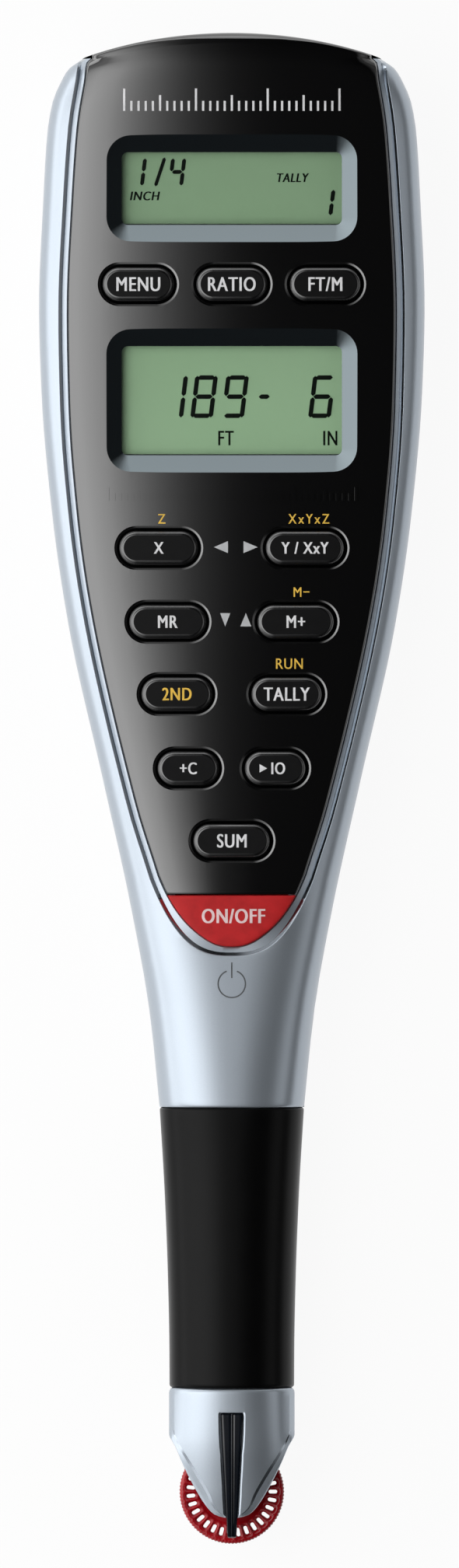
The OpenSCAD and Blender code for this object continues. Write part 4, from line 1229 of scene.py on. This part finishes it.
faceplate = solid("faceplate_gloss", *loft(plate_rows))
faceplate.data.materials.append(black_gloss)
for y, view_height in displays.values():
    print(f"well at y {y:.1f} mm, {view_height} mm high")
carve(faceplate, [cut for place in displays.values() for cut in well_cutters(*place)], bevel_black)

# %% [markdown]
# Every key sits in a groove that is hollowed like a saucer's rim, so a fine bright ring shows round
# it. The groove is a loft through pills that grow and rise, and the key's hole is a straight prism.

# %% Key grooves
key_names = ["menu", "ratio", "units", "length", "width", "recall", "memory", "second", "tally",
             "plus", "transfer", "sum"]
flange_reach = 0.5
key_gap = 0.1
groove_profile = [(0.03, -0.5), (0.12, -0.42), (0.2, -0.31), (0.28, -0.2), (0.36, -0.11),
                  (0.45, -0.075), (0.54, -0.04), (0.64, 0.0), (0.65, 0.6)]


def key_place(name):
    """Middle, length, height and top of a key's cap, from the box of its CAD node."""
    low, high = box_mm(name + "_key")
    middle = (low + high) / 2
    length, height = high.x - low.x - 2 * flange_reach, high.y - low.y - 2 * flange_reach
    return middle.x, middle.y, length, height, high.z


groove_parts, hole_parts = [], []
for name in key_names:
    place = key_place(name)[:4]
    groove_parts.append(loft([over_surface(pill(*place, grow), rise)
                              for grow, rise in groove_profile]))
    hole_parts.append(flat_prism(pill(*place, key_gap), plate_under_z - 1, crown_z + 1))
carve(faceplate, [join_parts(*groove_parts), join_parts(*hole_parts)], groove_black)
mount(soften(faceplate, 30), "housing", "black_faceplate", black_gloss, ["faceplate"])

# %% [markdown]
# ## Keys
# A key is a small pill with a broad, shallow round. One helper makes any cap from its outline:
# walls, the round, and then smaller and smaller outlines that close the top. The flange that keeps
# the key under the faceplate and its stem come with it, so a pressed key shows a whole part.

# %% Caps with rounded edges
key_bevel, key_drop = 0.5, 0.42
flange_low_z, flange_top_z = 11.6, 12.2
stem_low_z, stem_radius = 9.6, 0.9
round_inward, round_down = 0.38, 0.12
round_rings = 8


def level(z):
    """A height that is the same everywhere, for what lies on a flat top."""
    return lambda x, y: z


def capped(loop, top_at, rounding, drop, middle):
    """Points and faces of a cap, with a flange round its foot."""
    foot = ((flange_reach, flange_low_z), (flange_reach, flange_top_z), (0, flange_top_z))
    rings = [at_height(draw_in(loop, -out), z) for out, z in foot]
    for i in range(round_rings):
        t = i / (round_rings - 1)
        inset = rounding * (2 * t * (1 - t) * round_inward + t * t)
        fall = drop * ((1 - t) ** 2 + 2 * t * (1 - t) * round_down)
        rings.append([(x, y, top_at(x, y) - fall) for x, y in draw_in(loop, inset)])
    edge = draw_in(loop, rounding)
    for share in (0.85, 0.65, 0.45, 0.25):
        shrunk = [(middle[0] + (x - middle[0]) * share, middle[1] + (y - middle[1]) * share)
                  for x, y in edge]
        rings.append([(x, y, top_at(x, y)) for x, y in shrunk])
    return loft(rings)


def stem_at(x, y):
    return cylinder_cut(x, y, stem_low_z, flange_low_z + 0.1, stem_radius, 24)


for name in key_names:
    x, y, length, height, top = key_place(name)
    loop = pill(x, y, length, height)
    cap = capped(loop, level(top), key_bevel, key_drop, (x, y))
    round_faces = range(3 * len(loop), (2 + round_rings) * len(loop))
    key = solid(name + "_cap", *join_parts(cap, stem_at(x, y)), round_faces)
    key.data.materials.append(key_black)
    key.data.materials.append(key_edge)
    mount(soften(key), name, "black_key", key_black, [name + "_key"])

# %% [markdown]
# The red key fills the pointed lower end of the faceplate, so its outline is taken from the plate's
# own: a straight edge above, and the plate's side down to the tip. Its top follows the body's
# front.

# %% Red key at the lower end of the faceplate
red_edge_y = red_key_high.y
red_side = [(plate_half(top_y - red_edge_y), red_edge_y)]
red_side += [p for i, p in enumerate(plate_side)
             if p[1] < red_edge_y - 0.06 and i % 12 == 0 and p[0] > 0.1]
red_top = [(red_side[0][0] * (1 - i / 10), red_edge_y) for i in range(1, 20)]
red_tip = (0, plate_side[-1][1])
red_loop = red_top + [(-x, y) for x, y in red_side] + [red_tip] + red_side[::-1]
red_middle = (0, red_edge_y - 2.4)
red_cap = capped(red_loop, surface_z, 0.22, 0.2, red_middle)
power_cap = solid("power_cap", *join_parts(red_cap, stem_at(0, red_edge_y - 2.6)))
mount(soften(power_cap), "power", "red_key", key_red, ["power_key"])

# %% [markdown]
# ## Grip, pointer and wheel
# The grip is a rubber tube stretched over the neck, a little rounded at its two ends. It is lofted
# through whole rings of the skin, and its bore is the same shape drawn in.

# %% Rubber grip
bore_inset = 1.35
grip_span = grip_top_y - grip_end_y - 1.2


def tube_ring(y, inset):
    """A whole ring round the skin, front and back."""
    front = [skin(180 * i / 48, y, inset) for i in range(49)]
    back = [skin(180 * i / 48, y, inset, False) for i in range(47, 0, -1)]
    return front + back


grip_ends = ((0, 0.3), (0.06, 0.16), (0.16, 0.06), (0.32, 0))
grip_rings = [tube_ring(grip_top_y - in_by, inset) for in_by, inset in grip_ends]
grip_rings += [tube_ring(grip_top_y - 0.6 - grip_span * i / 24, 0) for i in range(25)]
grip_rings += [tube_ring(grip_end_y + in_by, inset) for in_by, inset in grip_ends[::-1]]
bore_ys = (grip_top_y + 0.5, *under_grip[1:-1], grip_end_y - 0.5)
sleeve_bore = loft([tube_ring(y, bore_inset) for y in bore_ys])
grip = carve(solid("rubber_grip", *loft(grip_rings)), [sleeve_bore])
mount(soften(grip), "housing", "black_rubber", rubber_black, ["grip_sleeve"])

# %% [markdown]
# The pointer is two narrow rounded halves with a fine ridge between them, which the user puts on
# the drawing's line. Its rings are laid across, and they sink a little at both ends, which rounds
# it off.

# %% Pointer
pointer_sink = 0.85
ridge_half, ridge_rise = 0.14, 0.34
shoulder_drop = 0.15


def pointer_line(y):
    """Height of the pointer's shoulders along its length; its tip dips towards the drawing."""
    below = max(0, dip_from_y - y)
    return surface_z(0, max(y, dip_from_y)) - 0.18 - 1.1 * (below / 2.95) ** 1.5


def pointer_ring(y, narrow=0, sink=0):
    half = pointer_half(y) - narrow
    top = pointer_line(y) - sink
    low = max(top - pointer_sink, wheel_high.z + 0.2)
    right = [(half, low), (half, top - shoulder_drop)]
    for i in range(1, 9):
        share = 1 - i / 9
        shoulder = math.sqrt(max(0, 1 - max(0, (share - 0.82) / 0.18) ** 2))
        right.append((ridge_half + (half - ridge_half) * share,
                      top - shoulder_drop + (ridge_rise - 0.05) * shoulder))
    right += [(ridge_half, top + 0.08), (ridge_half * 0.4, top + ridge_rise - 0.02),
              (0, top + ridge_rise)]
    return [(x, y, z) for x, z in right] + [(-x, y, z) for x, z in right[-2::-1]]


upper_end = ((0, 0.14, 0.4), (0.07, 0.04, 0.22), (0.18, 0.01, 0.09), (0.34, 0, 0.02), (0.5, 0, 0))
tip_end = ((0.1, 0.03, 0.03), (0, 0.12, 0.15))
pointer_rings = [pointer_ring(pointer_top_y - back, narrow, sink)
                 for back, narrow, sink in upper_end]
pointer_rings += [pointer_ring(pointer_top_y - 0.5 - (pointer_top_y - pointer_tip_y - 0.7) * i / 24)
                  for i in range(1, 25)]
pointer_rings += [pointer_ring(pointer_tip_y + up, narrow, sink) for up, narrow, sink in tip_end]
pointer_blade = solid("pointer_blade", *loft(pointer_rings))
mount(soften(pointer_blade, 45), "housing", "dark_pointer", pointer_dark, ["pointer"])

# %% [markdown]
# The wheel is turned on a lathe grid: circles from the axle's hole out to the tread, down, and back
# underneath. The tread has fine knurls, and ribs stand between the windows that the light gate
# counts.

# %% Measuring wheel on a lathe grid
window_count, knurl_count = 31, 93
wheel_steps = 372
rib_rise, knurl_reach = 0.3, 0.045
rib_middle, rib_reach = 4.95, 0.85
knurl_start = 5.6
wheel_stations = [
    (0.76, 1.25), (1.2, 1.25), (2.05, 1.25), (2.2, 1.12), (2.25, 0.6), (3.0, 0.6), (3.75, 0.6),
    (3.9, 0.68), (4.05, 0.8), (4.3, 0.8), (4.42, 0.72), (4.7, 0.7), (5.0, 0.7), (5.3, 0.72),
    (5.48, 0.8), (5.62, 0.98), (5.78, 1.08), (5.98, 1.1), (6.12, 1.05), (6.24, 0.9), (6.3, 0.7),
    (6.32, 0.35), (6.32, 0),
]


def wheel_ring(radius, height, side):
    """A circle of the wheel, with its share of the ribs and the knurls."""
    ring = []
    for i in range(wheel_steps):
        a = 2 * math.pi * i / wheel_steps
        rib = 0.5 - 0.5 * math.cos(window_count * a)
        between = max(0, 1 - abs(radius - rib_middle) / rib_reach)
        knurl_share = min(1, max(0, (radius - knurl_start) / 0.5))
        r = radius + knurl_reach * math.cos(knurl_count * a) * knurl_share
        z = height + rib_rise * rib ** 2 * min(1, 2 * between)
        ring.append((r * math.cos(a), wheel_y + r * math.sin(a), split_z + side * z))
    return ring


wheel_rings = [wheel_ring(r, z, 1) for r, z in wheel_stations]
wheel_rings += [wheel_ring(r, z, -1) for r, z in wheel_stations[-2::-1]]
wheel_points = [p for ring in wheel_rings for p in ring]
wheel_faces = []
for j in range(len(wheel_rings)):
    following = (j + 1) % len(wheel_rings)
    wheel_faces += [
        (j * wheel_steps + i, j * wheel_steps + (i + 1) % wheel_steps,
         following * wheel_steps + (i + 1) % wheel_steps, following * wheel_steps + i)
        for i in range(wheel_steps)
    ]
print(len(wheel_rings), "circles of", wheel_steps, "points")

# %% [markdown]
# Light shines through the wheel's windows onto a receiver, and each window that passes is counted.
# They are one small pill, turned round the axle and cut through the wheel all at once.

# %% Windows of the wheel
window_loop = pill(4.975, 0, 1.05, 0.46, 0, 8)
window_parts = []
for k in range(window_count):
    a = 2 * math.pi * k / window_count
    turned = [(x * math.cos(a) - y * math.sin(a), wheel_y + x * math.sin(a) + y * math.cos(a))
              for x, y in window_loop]
    window_parts.append(flat_prism(turned, split_z - 2, split_z + 2))
wheel = carve(solid("knurled_wheel", wheel_points, wheel_faces), [join_parts(*window_parts)])
mount(soften(wheel, 50), "wheel", "red_wheel", wheel_red, ["measuring_wheel"])

# %% [markdown]
# ## Display figures
# A liquid crystal glass shows slanted figures of seven strokes. Each lit stroke is a hair-thin dark
# plate on the glass. The figures are an example reading, and the words beside them are plain ones.

# %% Seven-stroke figures
strokes_of = {"1": "bc", "4": "bcfg", "6": "acdefg", "8": "abcdefg", "9": "abcdfg", "-": "g"}
lean = math.tan(math.radians(7))
stroke_gap = 0.05


def bar(start, end, width):
    """A stroke with pointed ends."""
    start, end = Vector(start), Vector(end)
    along = (end - start).normalized() * width / 2
    across = Vector((-along.y, along.x))
    return [start, start + along - across, end - along - across, end, end - along + across,
            start + along + across]


def figure(sign, x, y, width, height, thick):
    """Outlines of the lit strokes of a figure, from its lower left corner."""
    left, right, low, high = thick / 2, width - thick / 2, thick / 2, height - thick / 2
    middle = height / 2
    ends = {
        "a": ((left, high), (right, high)), "d": ((left, low), (right, low)),
        "g": ((left, middle), (right, middle)),
        "b": ((right, middle), (right, height)), "c": ((right, 0), (right, middle)),
        "e": ((left, 0), (left, middle)), "f": ((left, middle), (left, height)),
    }
    loops = []
    for stroke in strokes_of[sign]:
        start, end = Vector(ends[stroke][0]), Vector(ends[stroke][1])
        step = (end - start).normalized() * stroke_gap
        stroke_loop = bar(start + step, end - step, thick)
        loops.append([(x + p.x + p.y * lean, y + p.y) for p in stroke_loop])
    return loops


print("an eight has", len(figure("8", 0, 0, 2, 4, 0.5)), "strokes")

# %% [markdown]
# The upper glass shows a fraction with a slanted line, and a small figure on the right. The lower
# glass shows feet and inches. Each reading is one piece, which lies just over its glass.

# %% The reading on the two glasses
glass_z = box_mm("upper_lcd")[1].z
glass_lift = 0.005
ink_thickness = 0.02


def show(name, loops):
    """Plates of ink on a glass, as one piece."""
    plates = [flat_prism(loop, glass_z + glass_lift, glass_z + glass_lift + ink_thickness)
              for loop in loops]
    return mount(solid(name, *join_parts(*plates)), "housing", "display_glass", lcd_ink)


lcd_ink = moulded("lcd_ink", (0.003, 0.005, 0.003), 0.7, (5000, 0.1, 0.004), 0.05)
upper_loops = figure("1", -12.1, 73.0, 1.45, 3.4, 0.48)
upper_loops += [bar((-9.25, 72.95), (-8.1, 76.45), 0.42)]
upper_loops += figure("4", -7.75, 73.0, 1.85, 3.4, 0.48)
upper_loops += figure("1", 10.7, 69.4, 1.45, 3.2, 0.5)
lower_loops = []
for sign, x, width in (("1", -8.5, 2.6), ("8", -5.05, 2.75), ("9", -1.3, 2.75), ("-", 2.6, 2.0),
                       ("6", 9.2, 2.75)):
    lower_loops += figure(sign, x, 44.93, width, 5.17, 0.55)
show("upper_figures", upper_loops)
show("lower_figures", lower_loops)

# %% [markdown]
# Along the lower end of each glass lies a thin dark line of shade, in the fine gap where the
# wall of the well begins. A gap that fine would be lost in a render, so a thin dark strip paints
# that shade.

# %% Shadow lines where the glasses end
# Painted shade: a thin dark green strip on each glass stands for the shade in the gap at its lower
# end.
gap_shade_green = moulded("gap_shade_green", (0.03, 0.055, 0.04), 0.6)
edge_width = 0.16
for name, (y, view_height) in displays.items():
    low_edge = y - view_height / 2
    line = box_cut((-view_width / 2, low_edge, glass_z + glass_lift),
                   (view_width / 2, low_edge + edge_width, glass_z + 0.02))
    mount(solid(name + "_glass_gap_shade", *line), "housing", "display_glass", gap_shade_green)

# %% [markdown]
# ## Printing
# The legends are printed ink. Blender's own plain font is made a little bolder and narrower, turned
# into a mesh, and laid a hundredth of a millimetre above the surface it is printed on. A legend on
# a key rides with that key.

# %% Words as meshes
def text_shape(words, shear=0.0, spacing=1.0):
    """The mesh of some words in Blender's own font."""
    curve = bpy.data.curves.new("legend", "FONT")
    curve.body = words
    curve.extrude = 0.01
    curve.shear = shear
    curve.align_x = "CENTER"
    curve.space_character = spacing
    curve.resolution_u = 5
    writing = bpy.data.objects.new("legend", curve)
    bpy.context.scene.collection.objects.link(writing)
    shape = shape_of(writing)
    bpy.data.objects.remove(writing)
    return shape


cap_points = [v.co.y for v in text_shape("H").vertices]
capital_height = max(cap_points) - min(cap_points)
print(f"a capital of the font is {capital_height:.3f} high")

# %% [markdown]
# A legend is scaled by the height of its capitals, which can be measured on the photograph. It is
# struck twice, a little apart, which makes the strokes bolder.

# %% Legends
ink_foot, ink_top, second_strike = 0.002, 0.012, 0.004


def legend(name, words, place, height, printed_on, z_at, bold=0.05, squeeze=0.76, shear=0.0,
           spacing=1.12):
    """Words struck twice, centred at a place, that ride on a body in an ink."""
    shape = text_shape(words, shear, spacing)
    scale = height / capital_height
    xs = [v.co.x for v in shape.vertices]
    centre = (min(xs) + max(xs)) / 2
    points, faces = [], []
    for shift, lift in ((-bold, 0), (bold, second_strike)):
        faces += [tuple(i + len(points) for i in face.vertices) for face in shape.polygons]
        for v in shape.vertices:
            x = place[0] + (v.co.x - centre) * scale * squeeze + shift
            y = place[1] + (v.co.y - capital_height / 2) * scale
            points.append((x, y, z_at(x, y) + lift + (ink_top if v.co.z > 0 else ink_foot)))
    return mount(solid(name, points, faces), *printed_on)


white_ink = moulded("white_ink", (0.74, 0.74, 0.75), 0.5)
yellow_ink = moulded("yellow_ink", (0.80, 0.50, 0.06), 0.5)
grey_ink = moulded("grey_ink", (0.5, 0.51, 0.52), 0.5)
rose_ink = moulded("rose_ink", (0.80, 0.60, 0.60), 0.5)
print("four inks ready")

# %% [markdown]
# The words on the keys are plain ones of the size and colour that the photograph shows. The legend
# of the transfer key stands a little to the right, because an arrow goes before it.

# %% Legends on the keys
key_words = {
    "menu": ("MENU", 1.66), "ratio": ("RATIO", 1.66), "units": ("FT/M", 1.66), "length": ("X", 1.4),
    "width": ("Y / XxY", 1.4), "recall": ("MR", 1.5), "memory": ("M+", 1.5), "second": ("2ND", 1.5),
    "tally": ("TALLY", 1.6), "plus": ("+C", 1.4), "transfer": ("IO", 1.4), "sum": ("SUM", 1.6),
}
for name, (words, height) in key_words.items():
    x, y, _, _, top = key_place(name)
    shift = 0.35 if name == "transfer" else 0
    ink = yellow_ink if name == "second" else white_ink
    legend(name + "_legend", words, (x + shift, y), height, (name, "black_key", ink), level(top))
legend("power_legend", "ON/OFF", (0.2, -15.3), 1.7, ("power", "red_key", rose_ink), surface_z,
       0.07, 0.78)

# %% [markdown]
# Yellow words on the faceplate say what the key beside them does once the key with the yellow
# legend has been pressed. The words on the glasses are slanted or narrow, as such displays show
# them.

# %% Legends on the faceplate and words on the glasses
on_plate = ("housing", "black_faceplate", yellow_ink)
on_glass = ("housing", "display_glass", lcd_ink)
plate_words = {
    "z_legend": ("Z", (-8.47, 32.7), 1.15, 0.85, 1.12),
    "volume_legend": ("XxYxZ", (9.3, 32.7), 1.15, 0.8, 1.35),
    "minus_legend": ("M−", (8.4, 23.85), 1.15, 0.85, 1.12),
    "run_legend": ("RUN", (6.95, 15.2), 1.25, 0.85, 1.12),
}
glass_words = {
    "inch_word": ("INCH", (-10.5, 71.8), 1.05, 0.05, 0.88, 0.2),
    "tally_word": ("TALLY", (7.4, 74.0), 1.05, 0.05, 0.8, 0.2),
    "feet_word": ("FT", (-0.7, 42.5), 1.75, 0.04, 0.68, 0.0),
    "inches_word": ("IN", (11.9, 42.5), 1.75, 0.04, 0.68, 0.0),
}
for name, (words, place, height, squeeze, spacing) in plate_words.items():
    legend(name, words, place, height, on_plate, surface_z, 0.02, squeeze, spacing=spacing)
for name, (words, place, height, bold, squeeze, shear) in glass_words.items():
    legend(name, words, place, height, on_glass, level(glass_z), bold, squeeze, shear)

# %% [markdown]
# Arrows and scales are plain outlines, lifted into thin plates in the same way. One arrow is
# printed on a key, and rides with it.

# %% Printed arrows
def printed_loops(name, loops, printed_on, z_at, thickness=ink_top):
    """Outlines printed on a surface, as one piece."""
    plates = [loft([[(x, y, z_at(x, y) + rise) for x, y in loop] for rise in (ink_foot, thickness)])
              for loop in loops]
    return mount(solid(name, *join_parts(*plates)), *printed_on)


arrows = [
    [(-0.47, 30.0), (-2.16, 29.28), (-0.47, 28.56)],
    [(1.41, 28.56), (3.1, 29.28), (1.41, 30.0)],
    [(-1.41, 21.3), (-0.8, 19.7), (-0.19, 21.3)],
    [(1.03, 19.7), (2.35, 19.7), (1.69, 21.3)],
]
printed_loops("arrows", arrows, ("housing", "black_faceplate", grey_ink), surface_z)
x, y, _, _, top = key_place("transfer")
transfer_arrow = [(x - 1.9, y - 0.5), (x - 1.0, y), (x - 1.9, y + 0.5)]
printed_loops("transfer_arrow", [transfer_arrow], ("transfer", "black_key", white_ink), level(top))

# %% [markdown]
# Two plain scales stand on the faceplate. One is printed above the upper display. The other is
# moulded between the lower display and the keys, and shows only by the light on its gloss.

# %% Scale ticks
def tick_marks(x0, x1, y, count, heights, width):
    """A plain scale: every fifth tick is longer, and every tenth is the longest."""
    loops = []
    for i in range(count + 1):
        x = x0 + (x1 - x0) * i / count
        top = y + heights[2 if i % 10 == 0 else 1 if i % 5 == 0 else 0]
        left, right = x - width / 2, x + width / 2
        loops.append([(left, y), (right, y), (right, top), (left, top)])
    return loops


printed_ticks = tick_marks(-13.0, 13.0, 82.0, 30, (1.2, 1.9, 2.7), 0.26)
raised_ticks = tick_marks(-15.0, 15.0, 34.9, 40, (0.9, 1.2, 1.6), 0.34)
raised_by = 0.16
printed_loops("scale_ticks", printed_ticks, ("housing", "black_faceplate", white_ink), surface_z)
printed_loops("raised_ticks", raised_ticks, ("housing", "black_faceplate", black_gloss), surface_z,
              raised_by)

# %% [markdown]
# ## Finishes of the CAD pieces that stay
# The pieces inside, the windows, the glasses and the screws are shown with their own CAD meshes.
# Each gets a finish for what it is made of. The windows are clear by a low alpha, which keeps their
# gloss.

# %% Window and glass
def window_clear():
    finish, shader = new_finish("window_clear", (0.02, 0.03, 0.025), 0.06)
    shader.inputs["Alpha"].default_value = 0.06
    vary_roughness(finish, shader, 0.04, 0.09, 150)
    return finish


def lcd_green(name, tone):
    """The green of an unlit glass, in a lighter or a darker tone."""
    finish, shader = new_finish(name, (0.25 * tone, 0.39 * tone, 0.235 * tone), 0.5)
    shader.inputs["Specular IOR Level"].default_value = 0.2
    vary_colour(finish, shader, (0.245 * tone, 0.385 * tone, 0.23 * tone),
                (0.255 * tone, 0.395 * tone, 0.24 * tone), 60)
    add_grain(finish, shader, 5000, 0.1, 0.01)
    return finish


upper_glass = lcd_green("upper_lcd_green", 1.27)
lower_glass = lcd_green("lower_lcd_green", 1.57)
print("the lower glass is the lighter one:", lower_glass.name)

# %% [markdown]
# The record says which material slot each CAD node has. One table gives every slot its finish, and
# one loop hands them out to the nodes that are still shown.

# %% Finishes for the slots
kept_finishes = {
    "clear_window": window_clear(),
    "display_glass": upper_glass,
    "silver_housing": silver,
    "conductive_rubber": moulded("strip_rubber", (0.03, 0.03, 0.03), 0.7),
    "board_green": moulded("solder_mask", (0.02, 0.12, 0.05), 0.4, (800, 0.2, 0.02)),
    "chip_black": moulded("chip_resin", (0.02, 0.02, 0.02), 0.6),
    "component_tan": moulded("ceramic", (0.35, 0.26, 0.15), 0.5),
    "steel": plated("plated_steel", (0.55, 0.55, 0.57), 0.3),
    "cell_steel": plated("cell_can", (0.70, 0.70, 0.72), 0.25),
    "contact_metal": plated("spring_strip", (0.75, 0.60, 0.30), 0.35),
    "grey_silicone": moulded("silicone", (0.30, 0.30, 0.31), 0.65),
    "socket_black": moulded("socket_resin", (0.02, 0.02, 0.02), 0.5),
    "emitter_violet": moulded("emitter_resin", (0.10, 0.07, 0.18), 0.25),
    "cable_amber": moulded("cable_film", (0.55, 0.28, 0.05), 0.4),
}
slot_of = {p["node"]: p["material_slot"] for p in frame["record"]["subparts"]}
for node_name, node in nodes_of_frame.items():
    if node.hide_render:
        continue
    finish = lower_glass if node_name == "lower_lcd" else kept_finishes[slot_of[node_name]]
    for place in node.material_slots:
        place.material = finish
    print(node_name, "gets", finish.name)

# %% [markdown]
# ## Lights and floor
# The photograph is lit from the upper left by large soft lights, on a white ground. The gloss black
# plate shows a grey ramp that fades out just past its middle. A card overhead does that: it is dark
# above the plate's middle, grows brighter to the left, and has a faint fill on the far right. It is
# dimmer beyond the wheel and beyond the display end, where the photo's rounded corners go dark.
# Card, floor and room are built from the same few nodes, so their helpers come first.

# %% Helpers for light
def wire(tree, *pairs):
    """Links each output to its input."""
    for output, socket in pairs:
        tree.links.new(output, socket)


def grey_ramp(tree, value, stops):
    """Grey that follows the stops of a value from 0 to 1."""
    ramp = add_node(tree, "ValToRGB")
    while len(ramp.color_ramp.elements) < len(stops):
        ramp.color_ramp.elements.new(0.5)
    for stop, (place, grey) in zip(ramp.color_ramp.elements, stops):
        stop.position = place
        stop.color = (grey, grey, grey, 1)
    wire(tree, (value, ramp.inputs["Fac"]))
    return ramp.outputs["Color"]


def follow(tree, coordinate, stops):
    """Grey along one axis, as a share of the greatest of the stops, and that greatest value."""
    start, end = stops[0][0], stops[-1][0]
    span = add_node(tree, "MapRange", From_Min=start * MM, From_Max=end * MM)
    wire(tree, (coordinate, span.inputs["Value"]))
    brightest = max(radiance for _, radiance in stops)
    shares = [((place - start) / (end - start), radiance / brightest) for place, radiance in stops]
    return grey_ramp(tree, span.outputs["Result"], shares), brightest


def square_sheet(name, reach, z):
    """A flat sheet of the scene round the instrument, which isn't part of it."""
    mesh = bpy.data.meshes.new(name)
    corners = [Vector((x * reach, y * reach, z)) * MM
               for x, y in ((-1, -1), (1, -1), (1, 1), (-1, 1))]
    mesh.from_pydata(corners, [], [(0, 1, 2, 3)])
    sheet = bpy.data.objects.new(name, mesh)
    bpy.context.scene.collection.objects.link(sheet)
    return sheet


print("helpers for light ready")

# %% [markdown]
# The card's brightness is a product of two ramps, one across the instrument and one along it. Their
# stops are places in millimetres, and were tuned until the plate's greys matched the photograph's.

# %% Overhead card
card_height = 300
card_across = [
    (-700, 2.35), (-400, 2.45), (-220, 2.5), (-135, 2.46), (-92, 2.12), (-65, 1.82), (-38, 1.22),
    (-21, 0.75), (-12, 0.45), (-6.5, 0.21), (-3, 0.096), (0, 0.032), (5, 0.015), (220, 0.015),
    (330, 0.7), (700, 0.85),
]
card_along = [(-700, 0.2), (-230, 0.3), (-140, 1.0), (120, 1.0), (300, 0.3), (700, 0.15)]


def card_glow():
    """Light that follows both ramps."""
    glow = bpy.data.materials.new("card_glow")
    glow.use_nodes = True
    tree = glow.node_tree
    tree.nodes.clear()
    place, apart = add_node(tree, "TexCoord"), add_node(tree, "SeparateXYZ")
    wire(tree, (place.outputs["Object"], apart.inputs[0]))
    across, brightest = follow(tree, apart.outputs["X"], card_across)
    along, _ = follow(tree, apart.outputs["Y"], card_along)
    both = add_node(tree, "VectorMath", "MULTIPLY")
    light = add_node(tree, "Emission", Strength=brightest)
    out = add_node(tree, "OutputMaterial")
    wire(tree, (across, both.inputs[0]), (along, both.inputs[1]),
         (both.outputs[0], light.inputs["Color"]), (light.outputs[0], out.inputs["Surface"]))
    return glow


card_reach = card_across[-1][0]
card = square_sheet("overhead_card", card_reach, card_height)
card.data.materials.append(card_glow())
card.visible_camera = False
print("card of", 2 * card_reach, "mm at a height of", card_height, "mm")

# %% [markdown]
# The ground is white paper. The camera and every reflection see it as nearly pure white, while soft
# light still falls on it and leaves the faint shadow that a photographer's table shows.

# %% Floor
floor_reach = 40000
floor_z = -0.2
paper_glow = 0.93


def floor_paper():
    """Paper that glows white for the camera and for reflections, and is plain for other rays."""
    paper, shader = new_finish("floor_paper", (0.9, 0.9, 0.9), 0.9)
    shader.inputs["Specular IOR Level"].default_value = 0.1
    tree = paper.node_tree
    glow, rays = add_node(tree, "Emission"), add_node(tree, "LightPath")
    seen, seen_all = add_node(tree, "Math", "ADD"), add_node(tree, "Math", "ADD")
    share = add_node(tree, "Math", "MULTIPLY")
    share.inputs[1].default_value = paper_glow
    share.use_clamp = True
    blend = add_node(tree, "MixShader")
    wire(tree, (rays.outputs["Is Camera Ray"], seen.inputs[0]),
         (rays.outputs["Is Glossy Ray"], seen.inputs[1]), (seen.outputs[0], seen_all.inputs[0]),
         (rays.outputs["Is Transmission Ray"], seen_all.inputs[1]),
         (seen_all.outputs[0], share.inputs[0]), (share.outputs[0], blend.inputs["Fac"]),
         (shader.outputs[0], blend.inputs[1]), (glow.outputs[0], blend.inputs[2]),
         (blend.outputs[0], tree.nodes["Material Output"].inputs["Surface"]))
    return paper


floor = square_sheet("floor", floor_reach, 0)
floor.location.z = floor_z * MM
floor.data.materials.append(floor_paper())
print("floor laid at", floor_z, "mm")

# %% [markdown]
# The room round the table is brighter towards the upper left, which gives the rim its bright side.
# The camera itself sees plain white there. A colour picture would do the same, but two ramps are
# easier to tune: one for the direction, and one for the height above the table.

# %% A room that is bright towards the upper left
bright_towards = (-0.87, 0.5, 0)
world = bpy.data.worlds.new("studio")
bpy.context.scene.world = world
world.use_nodes = True
sky = world.node_tree
direction, split = add_node(sky, "TexCoord").outputs["Generated"], add_node(sky, "SeparateXYZ")
facing = add_node(sky, "VectorMath", "DOT_PRODUCT")
facing.inputs[1].default_value = bright_towards
span = add_node(sky, "MapRange", From_Min=-1)
wire(sky, (direction, split.inputs[0]), (direction, facing.inputs[0]),
     (facing.outputs["Value"], span.inputs["Value"]))
towards = grey_ramp(sky, span.outputs["Result"], [(0.3, 0), (0.5, 0.18), (0.83, 0.85), (1, 1)])
upwards = grey_ramp(sky, split.outputs["Z"], [(0, 1), (0.25, 0.9), (0.6, 0.3), (0.85, 0)])
product = add_node(sky, "VectorMath", "MULTIPLY")
bright_side = add_node(sky, "Background", Strength=2.7)
plain = sky.nodes["Background"]
plain.inputs["Color"].default_value = (0.97, 0.99, 1, 1)
plain.inputs["Strength"].default_value = 0.04
wire(sky, (towards, product.inputs[0]), (upwards, product.inputs[1]),
     (product.outputs[0], bright_side.inputs["Color"]))
print("bright side towards", bright_towards)

# %% [markdown]
# Both lights of the room are added, and rays from the camera are sent to a plain white backdrop
# instead. The view transform stays Standard, so that a white of 1 is shown as white.

# %% Backdrop and view
together = add_node(sky, "AddShader")
backdrop = add_node(sky, "Background", Color=(0.97, 0.97, 0.97, 1))
seen_by = add_node(sky, "MixShader")
wire(sky, (plain.outputs[0], together.inputs[0]), (bright_side.outputs[0], together.inputs[1]),
     (add_node(sky, "LightPath").outputs["Is Camera Ray"], seen_by.inputs["Fac"]),
     (together.outputs[0], seen_by.inputs[1]), (backdrop.outputs[0], seen_by.inputs[2]),
     (seen_by.outputs[0], sky.nodes["World Output"].inputs["Surface"]))
bpy.context.scene.view_settings.view_transform = "Standard"
print("lights and floor ready")
